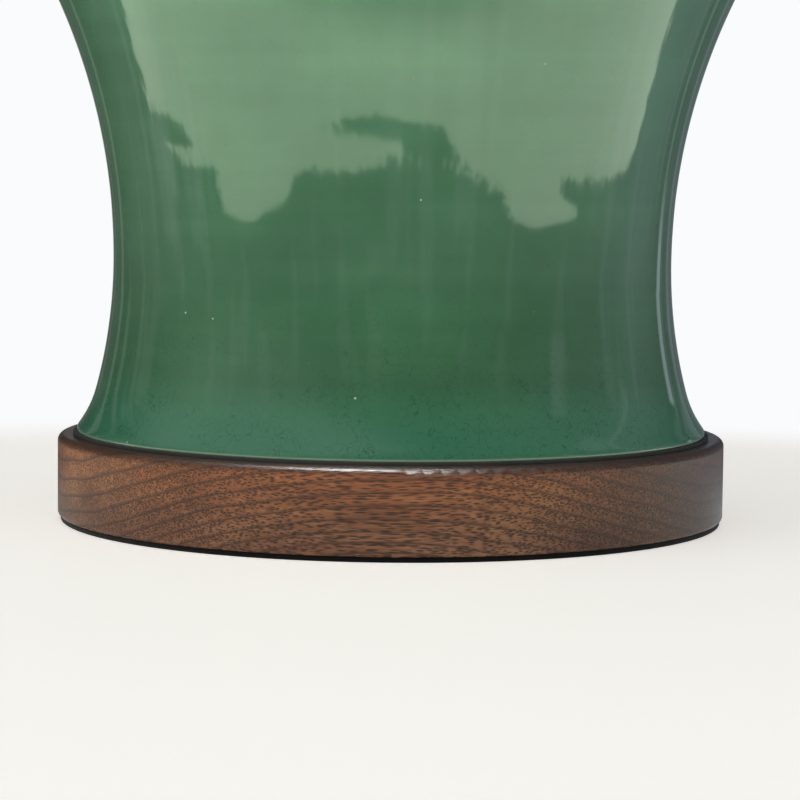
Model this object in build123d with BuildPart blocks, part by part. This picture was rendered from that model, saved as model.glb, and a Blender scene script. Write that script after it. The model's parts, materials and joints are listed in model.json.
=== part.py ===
from build123d import *
import os
from math import cos, radians, sin

# Ginger jar table lamp: a crackle-glazed stoneware jar with a waisted, flared foot on a round walnut
# base, with brass fittings, a turn-knob lamp socket, a harp and a tapered linen shade.
#
# Frame: origin at the centre of the felt's underside, where the lamp stands, +Z up. The front, where the
# switch knob points, is -Y, and the cord hole is at the back, +Y. The harp's legs stand at -X and +X.
# Sizes are in millimetres and angles in degrees.

# -------- driving sizes: clearances
thread_clearance = 0.05  # radial gap between a screw thread and its hole, drawn without the thread
slip_clearance = 0.3  # radial gap round a piece that passes through another
turn_clearance = 0.06  # radial gap at a bearing that turns
seat_gap = 0.1  # gap between pieces that nearly touch and move apart
layer_gap = 0.05  # gap between thin layers and shells that lie against each other

# -------- driving sizes: walnut base
base_radius = 101.6
base_thickness = 24.4
base_top_round = 2.0
base_bottom_round = 1.2
felt_thickness = 1.5
felt_inset = 0.8
nut_recess_room = 5.0  # round the washer, for a wrench
cord_hole_radius = 4.0
cord_hole_height = 8.5  # above the underside of the wood
bushing_bore_radius = 3.5
bushing_wall = 1.9
bushing_flange_width = 1.9
bushing_flange_thickness = 1.8
bushing_body_length = 12.0

# -------- driving sizes: jar
foot_gasket_thickness = 0.9
foot_gasket_overhang = 1.1
foot_gasket_width = 12.0
foot_radius = 95.8
foot_edge_round = 0.8
foot_land = 0.3
foot_ring_width = 9.0
foot_recess_depth = 4.0
jar_wall = 6.0
jar_floor_thickness = 8.0
lip_radius = 2.0  # the jar's side is a chain of tangent arcs, in this order from the foot up
toe_radius = 32.5
toe_turn = 21.6
flare_radius = 150.0
flare_turn = 15.3
rise_radius = 186.0
rise_turn = 32.0
belly_radius = 165.0
shoulder_radius = 120.0
shoulder_turn = 30.0
crown_radius = 80.0
crown_turn = 50.0
nape_radius = 18.0
neck_land = 14.0
rim_round = 2.0

# -------- driving sizes: lamp pipe and its fittings
pipe_radius = 4.9
pipe_wall = 1.5
pipe_stick_out = 3.0
pipe_chamfer = 0.45
grommet_wall = 3.0
grommet_flange_width = 4.0
grommet_flange_thickness = 2.0
grommet_skirt_length = 7.0
base_washer_width = 13.8
base_washer_thickness = 2.0
lock_washer_width = 4.3
lock_washer_thickness = 1.2
pipe_nut_wall = 3.8  # from the pipe to a flat of the nut
pipe_nut_thickness = 6.0
neck_gasket_thickness = 1.5
cap_overhang = 2.5
cap_seat_width = 5.0  # how much of the jar's rim the cap covers
cap_flange_thickness = 3.0
cap_height = 15.0
cap_wall = 1.4
cap_bulge = 4.0
check_ring_width = 12.3
check_ring_thickness = 2.6
check_ring_overhang = 1.5  # past the flat top of the cap
check_ring_round = 1.0
neck_height = 24.0
neck_wall = 3.2  # at the waist of the brass neck
neck_foot_swell = 5.1
neck_head_swell = 4.1
neck_bead_height = 5.0

# -------- driving sizes: harp and its saddle
saddle_leg_gap = 3.0  # between the socket's cap and the ferrules on the harp's legs
saddle_thickness = 2.0
saddle_width = 9.0
saddle_disc_width = 7.3
saddle_bend_radius = 5.0
saddle_arm_height = 15.0
saddle_nib_length = 9.0
saddle_nut_wall = 2.6
saddle_nut_thickness = 3.0
harp_height = 229.0  # from the saddle's top to the shade's seat, a standard 9 in harp
harp_wire_radius = 2.1
harp_leg_length = 24.0
harp_spread_radius = 40.0
harp_spread_turn = 30.0
harp_side_turn = 50.0
harp_shoulder_radius = 32.0
harp_lug_wall = 4.5
harp_lug_thickness = 4.4
ferrule_clearance = 0.15
ferrule_wall = 1.25
ferrule_length = 18.0
ferrule_chamfer = 0.7

# -------- driving sizes: lamp socket
socket_hub_wall = 3.6
socket_hub_height = 7.0
socket_cap_height = 23.0
socket_cap_rim_height = 9.0
socket_cap_wall = 0.8
socket_set_screw_radius = 1.6
socket_set_screw_length = 5.0
socket_set_screw_slot = 0.65  # width of the slot
socket_set_screw_slot_depth = 1.0
shell_wall = 0.6
shell_bottom_height = 16.0  # heights in the socket are above the underside of its cap
shell_top_height = 68.0
shell_bead_radius = 1.0
liner_wall = 0.9
insulator_bottom_height = 14.0
insulator_height = 26.0
insulator_margin = 2.6  # how far the insulator reaches past the screw shell
switch_height = 31.0
screw_shell_wall = 0.6
screw_shell_height = 23.0
screw_shell_floor_hole = 5.5
contact_width = 5.0
contact_thickness = 0.6
contact_reach = 4.2
contact_rise = 1.8
terminal_height = 20.0
terminal_head_radius = 3.4
terminal_head_thickness = 1.8
terminal_slot_width = 0.85
terminal_slot_depth = 0.9
terminal_shank_radius = 1.7
terminal_shank_length = 6.0
terminal_pocket_depth = 3.2
terminal_pocket_height = 11.0
rivet_radius = 1.1
rivet_count = 2
rivet_inset = 3.8  # from the screw shell's wall
rivet_angle = 45.0  # clear of the switch shaft and of the terminal screws
rivet_head_radius = 2.2
rivet_head_thickness = 0.8

rotor_radius = 5.2
rotor_length = 12.0
rotor_back = 4.0  # how far the rotor reaches behind the socket's axis
shaft_radius = 2.4
rotor_bush_thickness = 2.0
shaft_window_gap = 1.2
knob_standoff = 10.5  # from the socket's cap to the back of the knob
knob_wall = 4.2
knob_length = 15.0
knob_bore_depth = 10.0
knob_flutes = 16
knob_flute_radius = 0.8

# -------- driving sizes: light bulb
bulb_tip_radius = 4.2
bulb_tip_height = 1.5
bulb_tip_round = 0.9
bulb_insulator_height = 3.2
bulb_insulator_radius = 9.6
bulb_thread_radius = 13.1
bulb_thread_clearance = 0.7
bulb_thread_depth = 0.9
bulb_thread_pitch = 3.63
bulb_thread_turns = 5
bulb_collar_height = 4.5
bulb_cap_wall = 0.5
bulb_neck_inset = 0.1  # from the thread's crest to the glass
bulb_glass_radius = 29.5
bulb_glass_lean = 35.0
bulb_glass_wall = 0.8
bulb_glass_in_cap = 4.0
bulb_stem_radius = 3.0
bulb_stem_length = 52.0
filament_count = 4
filament_radius = 0.8
filament_standoff = 5.0  # from the stem's surface
filament_length = 34.0
filament_start = 12.0  # above the stem's foot

# -------- driving sizes: shade
shade_top_radius = 165.1
shade_bottom_radius = 203.2
shade_height = 270.0
shade_drop = 12.7  # the spider's washer hangs this far below the shade's top edge
linen_thickness = 0.8
backing_thickness = 0.5
shade_ring_radius = 1.5
trim_thickness = 0.6
trim_height = 11.0
trim_return = 5.0
spider_washer_width = 10.5
spider_washer_thickness = 1.6
spider_arm_radius = 1.6
spider_arm_count = 3
spider_bend_reach = 14.0  # how far inside the ring each arm starts to climb
spider_first_arm = 90.0

# -------- driving sizes: finial
stud_radius = 3.175
stud_length = 11.0
stud_chamfer = 0.6
stud_flange_width = 5.6
stud_flange_thickness = 2.4
stud_neck_radius = 3.4
stud_head_width = 1.6
stud_head_thickness = 1.4
finial_insert_wall = 1.8
finial_insert_length = 9.5
finial_collar_width = 4.0
finial_collar_height = 4.5
finial_collar_round = 0.9
finial_neck_wall = 1.55
finial_neck_height = 2.5
finial_ball_radius = 13.0

# -------- heights and places worked out from these
base_bottom = felt_thickness
base_top = base_bottom + base_thickness
foot_plane = base_top + foot_gasket_thickness
cord_hole_z = base_bottom + cord_hole_height
nut_stack_height = base_washer_thickness + lock_washer_thickness + pipe_nut_thickness
nut_recess_depth = nut_stack_height + pipe_stick_out + seat_gap
nut_recess_top = base_bottom + nut_recess_depth
bushing_seat = base_radius - bushing_flange_thickness  # how far the flange's seat is from the axis
bushing_body_radius = bushing_bore_radius + bushing_wall
bushing_flange_radius = bushing_body_radius + bushing_flange_width

pipe_bore_radius = pipe_radius - pipe_wall
pipe_hole_radius = pipe_radius + slip_clearance
pipe_thread_hole_radius = pipe_radius + thread_clearance
base_washer_radius = pipe_hole_radius + base_washer_width
nut_recess_radius = base_washer_radius + nut_recess_room

lip_lean = toe_turn + flare_turn
crown_lean = shoulder_turn + crown_turn


def arc_rise(radius, lean_from, lean_to):
    """Height gained along an arc that leans from the vertical by the first angle, then by the second."""
    return radius * abs(sin(radians(lean_to)) - sin(radians(lean_from)))


def arc_reach(radius, lean_from, lean_to):
    """Distance moved sideways along the same arc."""
    return radius * abs(cos(radians(lean_to)) - cos(radians(lean_from)))


lip_top_radius = foot_radius - arc_reach(lip_radius, 0, lip_lean)
lip_top = foot_plane + foot_edge_round + foot_land + arc_rise(lip_radius, 0, lip_lean)
toe_top_radius = lip_top_radius - arc_reach(toe_radius, lip_lean, flare_turn)
waist_radius = toe_top_radius - arc_reach(flare_radius, flare_turn, 0)
neck_radius = (
    waist_radius
    + arc_reach(rise_radius, 0, rise_turn)
    + arc_reach(belly_radius, rise_turn, 0)
    - arc_reach(shoulder_radius, 0, shoulder_turn)
    - arc_reach(crown_radius, shoulder_turn, crown_lean)
    - arc_reach(nape_radius, crown_lean, 0)
)
toe_top = lip_top + arc_rise(toe_radius, lip_lean, flare_turn)
waist_plane = toe_top + arc_rise(flare_radius, flare_turn, 0)
rim_plane = (
    waist_plane
    + arc_rise(rise_radius, 0, rise_turn)
    + arc_rise(belly_radius, rise_turn, 0)
    + arc_rise(shoulder_radius, 0, shoulder_turn)
    + arc_rise(crown_radius, shoulder_turn, crown_lean)
    + arc_rise(nape_radius, crown_lean, 0)
    + neck_land
)
floor_underside = foot_plane + foot_recess_depth
floor_top = floor_underside + jar_floor_thickness

cap_bottom = rim_plane + neck_gasket_thickness
cap_top = cap_bottom + cap_height
check_ring_top = cap_top + check_ring_thickness
neck_top = check_ring_top + neck_height
saddle_top = neck_top + saddle_thickness
arm_top = neck_top + saddle_thickness / 2 + saddle_arm_height
leg_bottom = arm_top + saddle_nib_length
socket_bottom = saddle_top + saddle_nut_thickness
pipe_bottom = base_bottom + seat_gap
pipe_top = socket_bottom + socket_hub_height

shell_bottom = socket_bottom + shell_bottom_height
shell_top = socket_bottom + shell_top_height
insulator_bottom = socket_bottom + insulator_bottom_height
insulator_top = insulator_bottom + insulator_height
screw_shell_bore = bulb_thread_radius + bulb_thread_clearance
screw_shell_radius = screw_shell_bore + screw_shell_wall
insulator_radius = screw_shell_radius + insulator_margin
liner_radius = insulator_radius + layer_gap + liner_wall
shell_radius = liner_radius + layer_gap + shell_wall
socket_cap_bore = shell_radius + layer_gap
socket_cap_radius = socket_cap_bore + socket_cap_wall
rivet_circle = screw_shell_bore - rivet_inset
switch_z = socket_bottom + switch_height
contact_top = insulator_top + screw_shell_wall + contact_rise + contact_thickness
knob_back = socket_cap_radius + knob_standoff
shaft_length = knob_back + knob_bore_depth  # from the socket's axis to the shaft's outer end
shaft_window_radius = shaft_radius + shaft_window_gap

ferrule_bore_radius = harp_wire_radius + ferrule_clearance
ferrule_radius = ferrule_bore_radius + ferrule_wall
leg_x = socket_cap_radius + saddle_leg_gap + ferrule_radius  # the harp's legs stand here on each side

tip_bottom = contact_top + seat_gap
tip_top = tip_bottom + bulb_tip_height
bulb_insulator_top = tip_top + bulb_insulator_height
bulb_thread_top = bulb_insulator_top + bulb_thread_pitch * bulb_thread_turns
bulb_cap_top = bulb_thread_top + bulb_collar_height
bulb_neck_radius = bulb_thread_radius - bulb_neck_inset
bulb_flare_radius = (bulb_glass_radius * cos(radians(bulb_glass_lean)) - bulb_neck_radius) / (
    1 - cos(radians(bulb_glass_lean))
)

shade_seat = saddle_top + harp_height
spider_top = shade_seat + spider_washer_thickness
shade_top = shade_seat + shade_drop
shade_bottom = shade_top - shade_height
shade_slope = (shade_bottom_radius - shade_top_radius) / shade_height
spider_washer_bore = stud_radius + slip_clearance
spider_washer_radius = spider_washer_bore + spider_washer_width


# -------- drawing helpers
def tube(inner, outer, low, high):
    """Adds a plain ring or tube round the lamp's axis to the part that is being built."""
    with BuildSketch(Plane.XY.offset(low)) as section:
        Circle(outer)
        Circle(inner, mode=Mode.SUBTRACT)
    extrude(section.sketch, amount=high - low)


def hex_nut(wall, low, high):
    """Adds a hexagonal nut on the lamp pipe, with the wall between the pipe and each flat."""
    with BuildSketch(Plane.XY.offset(low)) as section:
        RegularPolygon(radius=pipe_thread_hole_radius + wall, side_count=6, major_radius=False)
        Circle(pipe_thread_hole_radius, mode=Mode.SUBTRACT)
    extrude(section.sketch, amount=high - low)


def save(piece, name):
    """Labels a finished piece and writes it to a file of its own."""
    piece.part.label = name
    export_step(piece.part, f"parts/{name}.step")


os.makedirs("parts", exist_ok=True)

# -------- felt pad under the base
with BuildPart() as base_felt:
    Cylinder(base_radius - felt_inset, felt_thickness, align=(Align.CENTER, Align.CENTER, Align.MIN))
save(base_felt, "base_felt")

# -------- walnut base, with nut recess and cord hole
with BuildPart() as walnut_base:
    with BuildSketch(Plane.XY.offset(base_bottom)):
        Circle(base_radius)
    extrude(amount=base_thickness)
    rim_edges = walnut_base.edges().filter_by(GeomType.CIRCLE).sort_by(Axis.Z)
    fillet(rim_edges[-1], radius=base_top_round)
    fillet(rim_edges[0], radius=base_bottom_round)
    with BuildSketch(Plane.XY.offset(base_bottom)):
        Circle(nut_recess_radius)
    extrude(amount=nut_recess_depth, mode=Mode.SUBTRACT)
    with BuildSketch(Plane.XY.offset(base_bottom)):
        Circle(pipe_hole_radius)
    extrude(amount=base_thickness, mode=Mode.SUBTRACT)
    with BuildSketch(Plane.XZ.offset(-base_radius)):
        with Locations((0, cord_hole_z)):
            Circle(bushing_flange_radius + slip_clearance)
    extrude(amount=base_radius - bushing_seat, mode=Mode.SUBTRACT)
    with BuildSketch(Plane.XZ.offset(-base_radius)):
        with Locations((0, cord_hole_z)):
            Circle(bushing_body_radius + thread_clearance)
    extrude(amount=base_radius - bushing_seat + bushing_body_length, mode=Mode.SUBTRACT)
    with BuildSketch(Plane.XZ.offset(-base_radius)):
        with Locations((0, cord_hole_z)):
            Circle(cord_hole_radius)
    extrude(amount=base_radius - pipe_radius, mode=Mode.SUBTRACT)
save(walnut_base, "walnut_base")

# -------- bushing that lines the cord hole
with BuildPart() as cord_bushing:
    with BuildSketch(Plane.XZ.offset(-bushing_seat - bushing_flange_thickness)):
        with Locations((0, cord_hole_z)):
            Circle(bushing_flange_radius)
    extrude(amount=bushing_flange_thickness)
    with BuildSketch(Plane.XZ.offset(-bushing_seat)):
        with Locations((0, cord_hole_z)):
            Circle(bushing_body_radius)
    extrude(amount=bushing_body_length)
    with BuildSketch(Plane.XZ.offset(-bushing_seat - bushing_flange_thickness)):
        with Locations((0, cord_hole_z)):
            Circle(bushing_bore_radius)
    extrude(amount=bushing_flange_thickness + bushing_body_length, mode=Mode.SUBTRACT)
save(cord_bushing, "cord_bushing")

# -------- gasket between jar and base
with BuildPart() as foot_gasket:
    gasket_radius = foot_radius + foot_gasket_overhang
    tube(gasket_radius - foot_gasket_width, gasket_radius, base_top, foot_plane)
save(foot_gasket, "foot_gasket")


# -------- stoneware jar
def jar_side(start, inset):
    """Draws the jar's side, moved inwards by the inset, from the lip to the rim, and returns its end."""
    side_arcs = (
        (toe_radius + inset, -toe_turn),
        (flare_radius + inset, -flare_turn),
        (rise_radius + inset, -rise_turn),
        (belly_radius - inset, rise_turn),
        (shoulder_radius - inset, shoulder_turn),
        (crown_radius - inset, crown_turn),
        (nape_radius + inset, -crown_lean),
    )
    end = start
    heading = Vector(-sin(radians(lip_lean)), cos(radians(lip_lean)))
    for arc_radius, turn in side_arcs:
        arc = JernArc(start=end, tangent=heading, radius=arc_radius, arc_size=turn)
        end = arc @ 1
        heading = arc % 1
    neck = Line(end, (end.X, rim_plane))
    return neck @ 1


with BuildPart() as jar:
    with BuildSketch(Plane.XZ):
        with BuildLine():
            sole = Line((0, foot_plane), (foot_radius - foot_edge_round, foot_plane))
            edge = JernArc(start=sole @ 1, tangent=sole % 1, radius=foot_edge_round, arc_size=90)
            land = Line(edge @ 1, edge @ 1 + Vector(0, foot_land))
            lip = JernArc(start=land @ 1, tangent=land % 1, radius=lip_radius, arc_size=lip_lean)
            outer_rim = jar_side(lip @ 1, 0)
            Polyline(outer_rim, (0, rim_plane), (0, foot_plane))
        make_face()
    revolve(axis=Axis.Z)
    with BuildSketch(Plane.XZ):
        with BuildLine():
            inside_start = Vector(lip_top_radius, lip_top) - jar_wall * Vector(
                cos(radians(lip_lean)), sin(radians(lip_lean))
            )
            inner_rim = jar_side(inside_start, jar_wall)
            Polyline(inner_rim, (0, rim_plane), (0, inside_start.Y), inside_start)
        make_face()
        with Locations((0, floor_top)):
            Rectangle(
                2 * foot_radius, floor_top, align=(Align.CENTER, Align.MAX), mode=Mode.SUBTRACT
            )
    revolve(axis=Axis.Z, mode=Mode.SUBTRACT)
    with BuildSketch(Plane.XY.offset(foot_plane)):
        Circle(foot_radius - foot_ring_width)
    extrude(amount=foot_recess_depth, mode=Mode.SUBTRACT)
    with BuildSketch(Plane.XY.offset(foot_plane)):
        Circle(pipe_thread_hole_radius + grommet_wall + thread_clearance)
    extrude(amount=foot_recess_depth + jar_floor_thickness, mode=Mode.SUBTRACT)
    rim_circles = jar.edges().filter_by(GeomType.CIRCLE).group_by(Axis.Z)[-1]
    fillet(rim_circles, radius=min(rim_round, 0.4 * jar_wall))
save(jar, "jar")

# -------- grommet that centres the pipe in the jar's floor
with BuildPart() as floor_grommet:
    grommet_top = floor_top + grommet_flange_thickness
    grommet_bottom = floor_top - grommet_skirt_length
    skirt_radius = pipe_thread_hole_radius + grommet_wall
    tube(pipe_thread_hole_radius, skirt_radius + grommet_flange_width, floor_top, grommet_top)
    tube(pipe_thread_hole_radius, skirt_radius, grommet_bottom, floor_top)
save(floor_grommet, "floor_grommet")

# -------- washer, lock washer and nut under the base
base_washer_bottom = nut_recess_top - base_washer_thickness
lock_washer_bottom = base_washer_bottom - lock_washer_thickness
with BuildPart() as base_washer:
    tube(pipe_hole_radius, base_washer_radius, base_washer_bottom, nut_recess_top)
save(base_washer, "base_washer")

with BuildPart() as base_lock_washer:
    tube(pipe_hole_radius, pipe_hole_radius + lock_washer_width, lock_washer_bottom, base_washer_bottom)
save(base_lock_washer, "base_lock_washer")

with BuildPart() as base_nut:
    base_nut_bottom = lock_washer_bottom - pipe_nut_thickness
    hex_nut(pipe_nut_wall, base_nut_bottom, lock_washer_bottom)
save(base_nut, "base_nut")

# -------- lamp pipe, from the nut recess to the socket
with BuildPart() as lamp_pipe:
    tube(pipe_bore_radius, pipe_radius, pipe_bottom, pipe_top)
    outer_ends = lamp_pipe.edges().filter_by(GeomType.CIRCLE).group_by(SortBy.RADIUS)[-1]
    chamfer(outer_ends, length=min(pipe_chamfer, 0.4 * pipe_wall))
save(lamp_pipe, "lamp_pipe")

# -------- gasket, vase cap and check ring on the jar's neck
with BuildPart() as neck_gasket:
    tube(neck_radius - jar_wall, neck_radius, rim_plane, cap_bottom)
save(neck_gasket, "neck_gasket")

cap_radius = neck_radius + cap_overhang
check_ring_radius = pipe_hole_radius + check_ring_width
cap_seat_radius = check_ring_radius - check_ring_overhang
with BuildPart() as vase_cap:
    with BuildSketch(Plane.XZ):
        with BuildLine():
            bead_radius = cap_flange_thickness / 2
            bead_centre = cap_radius - bead_radius
            flange_top = cap_bottom + cap_flange_thickness
            Polyline((0, cap_top), (0, cap_bottom), (bead_centre, cap_bottom))
            bead_nose = (cap_radius, cap_bottom + bead_radius)
            ThreePointArc((bead_centre, cap_bottom), bead_nose, (bead_centre, flange_top))
            SagittaArc((bead_centre, flange_top), (cap_seat_radius, cap_top), cap_bulge)
            Line((cap_seat_radius, cap_top), (0, cap_top))
        make_face()
    revolve(axis=Axis.Z)
    with BuildSketch(Plane.XZ):
        with BuildLine():
            hollow_edge = (neck_radius - cap_seat_width, cap_bottom)
            hollow_shoulder = (neck_radius - cap_seat_width, cap_bottom + cap_wall)
            hollow_top = (cap_seat_radius - cap_wall, cap_top - cap_wall)
            Polyline((0, cap_top - cap_wall), (0, cap_bottom), hollow_edge, hollow_shoulder)
            SagittaArc(hollow_shoulder, hollow_top, cap_bulge)
            Line(hollow_top, (0, cap_top - cap_wall))
        make_face()
    revolve(axis=Axis.Z, mode=Mode.SUBTRACT)
    with BuildSketch(Plane.XY.offset(cap_bottom)):
        Circle(pipe_hole_radius)
    extrude(amount=cap_height, mode=Mode.SUBTRACT)
save(vase_cap, "vase_cap")

with BuildPart() as check_ring:
    tube(pipe_hole_radius, check_ring_radius, cap_top, check_ring_top)
    outer_edges = check_ring.edges().filter_by(GeomType.CIRCLE).group_by(SortBy.RADIUS)[-1]
    fillet(outer_edges, radius=min(check_ring_round, 0.4 * check_ring_thickness))
save(check_ring, "check_ring")

# -------- turned brass neck
with BuildPart() as neck_tube:
    with BuildSketch(Plane.XZ):
        with BuildLine():
            foot_bead_top = check_ring_top + neck_bead_height
            head_bead_bottom = neck_top - neck_bead_height
            neck_waist_radius = pipe_hole_radius + neck_wall
            neck_foot_radius = neck_waist_radius + neck_foot_swell
            neck_head_radius = neck_waist_radius + neck_head_swell
            foot_bead_inner = neck_foot_radius - neck_bead_height / 2
            head_bead_inner = neck_head_radius - neck_bead_height / 2
            Polyline((0, neck_top), (0, check_ring_top), (foot_bead_inner, check_ring_top))
            ThreePointArc(
                (foot_bead_inner, check_ring_top),
                (neck_foot_radius, check_ring_top + neck_bead_height / 2),
                (foot_bead_inner, foot_bead_top),
            )
            ThreePointArc(
                (foot_bead_inner, foot_bead_top),
                (neck_waist_radius, (foot_bead_top + head_bead_bottom) / 2),
                (head_bead_inner, head_bead_bottom),
            )
            ThreePointArc(
                (head_bead_inner, head_bead_bottom),
                (neck_head_radius, neck_top - neck_bead_height / 2),
                (head_bead_inner, neck_top),
            )
            Line((head_bead_inner, neck_top), (0, neck_top))
        make_face()
    revolve(axis=Axis.Z)
    with BuildSketch(Plane.XY.offset(check_ring_top)):
        Circle(pipe_hole_radius)
    extrude(amount=neck_height, mode=Mode.SUBTRACT)
save(neck_tube, "neck_tube")

# -------- harp saddle and its nut
with BuildPart() as harp_saddle:
    with BuildSketch(Plane.XZ):
        with BuildLine():
            strap_z = neck_top + saddle_thickness / 2
            FilletPolyline(
                (-leg_x, arm_top),
                (-leg_x, strap_z),
                (leg_x, strap_z),
                (leg_x, arm_top),
                radius=saddle_bend_radius,
            )
        trace(line_width=saddle_thickness)
    extrude(amount=saddle_width / 2, both=True)
    with BuildSketch(Plane.XY.offset(neck_top)):
        Circle(pipe_hole_radius + saddle_disc_width)
    extrude(amount=saddle_thickness)
    with BuildSketch(Plane.XY.offset(neck_top)):
        Circle(pipe_hole_radius)
    extrude(amount=saddle_thickness, mode=Mode.SUBTRACT)
    with BuildSketch(Plane.XY.offset(arm_top)):
        with Locations((-leg_x, 0), (leg_x, 0)):
            Circle(harp_wire_radius)
    extrude(amount=saddle_nib_length)
save(harp_saddle, "harp_saddle")

with BuildPart() as saddle_nut:
    hex_nut(saddle_nut_wall, saddle_top, socket_bottom)
save(saddle_nut, "saddle_nut")

# -------- socket cap, with its set screw
cap_rim_bottom = socket_bottom + socket_cap_height - socket_cap_rim_height
socket_hub_radius = pipe_radius + socket_hub_wall
hub_top = socket_bottom + socket_hub_height
set_screw_z = socket_bottom + socket_hub_height / 2
with BuildPart() as socket_cap:
    with BuildSketch(Plane.XZ):
        with BuildLine():
            Polyline(
                (0, hub_top - socket_cap_wall),
                (0, socket_bottom),
                (socket_hub_radius, socket_bottom),
                (socket_hub_radius, hub_top - socket_cap_wall),
            )
            bowl = RadiusArc(
                (socket_hub_radius, hub_top - socket_cap_wall),
                (socket_cap_radius, cap_rim_bottom),
                -(socket_cap_radius - socket_hub_radius),
            )
            Polyline(
                bowl @ 1,
                (socket_cap_radius, socket_bottom + socket_cap_height),
                (0, socket_bottom + socket_cap_height),
                (0, hub_top - socket_cap_wall),
            )
        make_face()
    revolve(axis=Axis.Z)
    with BuildSketch(Plane.XZ):
        with BuildLine():
            hollow = RadiusArc(
                (socket_hub_radius, hub_top),
                (socket_cap_bore, cap_rim_bottom),
                -(socket_cap_bore - socket_hub_radius),
            )
            Polyline(
                hollow @ 1,
                (socket_cap_bore, socket_bottom + socket_cap_height),
                (0, socket_bottom + socket_cap_height),
                (0, hub_top),
                (socket_hub_radius, hub_top),
            )
        make_face()
    revolve(axis=Axis.Z, mode=Mode.SUBTRACT)
    with BuildSketch(Plane.XY.offset(socket_bottom)):
        Circle(pipe_thread_hole_radius)
    extrude(amount=socket_hub_height, mode=Mode.SUBTRACT)
    with BuildSketch(Plane.YZ):
        with Locations((0, set_screw_z)):
            Circle(socket_set_screw_radius + thread_clearance)
    extrude(amount=socket_hub_radius, mode=Mode.SUBTRACT)
save(socket_cap, "socket_cap")

with BuildPart() as cap_set_screw:
    screw_tip = pipe_radius + seat_gap
    with BuildSketch(Plane.YZ.offset(screw_tip)):
        with Locations((0, set_screw_z)):
            Circle(socket_set_screw_radius)
    extrude(amount=socket_set_screw_length)
    with BuildSketch(Plane.YZ.offset(screw_tip + socket_set_screw_length)):
        with Locations((0, set_screw_z)):
            Rectangle(2 * socket_set_screw_radius, socket_set_screw_slot)
    extrude(amount=-socket_set_screw_slot_depth, mode=Mode.SUBTRACT)
save(cap_set_screw, "cap_set_screw")

# -------- brass shell and its insulating liner
with BuildPart() as socket_shell:
    tube(shell_radius - shell_wall, shell_radius, shell_bottom, shell_top)
    with BuildSketch(Plane.XZ):
        with Locations((shell_radius - shell_wall / 2, shell_top)):
            Circle(shell_bead_radius)
    revolve(axis=Axis.Z)
    with BuildSketch(Plane.XZ):
        with Locations((0, switch_z)):
            Circle(shaft_window_radius)
    extrude(amount=shell_radius, mode=Mode.SUBTRACT)
save(socket_shell, "socket_shell")

with BuildPart() as shell_liner:
    liner_top = shell_top - shell_bead_radius - layer_gap
    tube(liner_radius - liner_wall, liner_radius, shell_bottom, liner_top)
    with BuildSketch(Plane.XZ):
        with Locations((0, switch_z)):
            Circle(shaft_window_radius)
    extrude(amount=liner_radius, mode=Mode.SUBTRACT)
save(shell_liner, "shell_liner")

# -------- moulded insulator that carries the contacts
terminal_seat = insulator_radius - terminal_pocket_depth
terminal_z = socket_bottom + terminal_height
rotor_chamber_radius = rotor_radius + slip_clearance
with BuildPart() as socket_insulator:
    with BuildSketch(Plane.XY.offset(insulator_bottom)):
        Circle(insulator_radius)
    extrude(amount=insulator_height)
    with BuildSketch(Plane.XZ.offset(-rotor_back - slip_clearance)):
        with Locations((0, switch_z)):
            Circle(rotor_chamber_radius)
    extrude(amount=insulator_radius + rotor_back + slip_clearance, mode=Mode.SUBTRACT)
    for side in (-1, 1):
        with BuildSketch(Plane.YZ.offset(side * terminal_seat)):
            with Locations((0, terminal_z)):
                Rectangle(2 * terminal_head_radius + 2 * slip_clearance, terminal_pocket_height)
        extrude(amount=side * terminal_pocket_depth, mode=Mode.SUBTRACT)
        with BuildSketch(Plane.YZ.offset(side * terminal_seat)):
            with Locations((0, terminal_z)):
                Circle(terminal_shank_radius + thread_clearance)
        extrude(amount=-side * (terminal_shank_length + slip_clearance), mode=Mode.SUBTRACT)
    with BuildSketch(Plane.XY.offset(insulator_bottom)):
        with PolarLocations(rivet_circle, rivet_count, start_angle=rivet_angle):
            Circle(rivet_radius + thread_clearance)
    extrude(amount=insulator_height, mode=Mode.SUBTRACT)
save(socket_insulator, "socket_insulator")

# -------- screw shell and centre contact
with BuildPart() as screw_shell:
    tube(screw_shell_bore, screw_shell_radius, insulator_top, insulator_top + screw_shell_height)
    tube(screw_shell_floor_hole, screw_shell_radius, insulator_top, insulator_top + screw_shell_wall)
    with BuildSketch(Plane.XY.offset(insulator_top)):
        with PolarLocations(rivet_circle, rivet_count, start_angle=rivet_angle):
            Circle(rivet_radius + thread_clearance)
    extrude(amount=screw_shell_wall, mode=Mode.SUBTRACT)
save(screw_shell, "screw_shell")

with BuildPart() as centre_contact:
    with BuildSketch(Plane.XZ):
        with BuildLine():
            leaf_z = insulator_top + contact_thickness / 2
            Polyline(
                (-contact_reach, leaf_z),
                (0, leaf_z),
                (contact_reach, contact_top - contact_thickness / 2),
                (-contact_reach / 2, contact_top - contact_thickness / 2),
            )
        trace(line_width=contact_thickness)
    extrude(amount=contact_width / 2, both=True)
save(centre_contact, "centre_contact")

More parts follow.
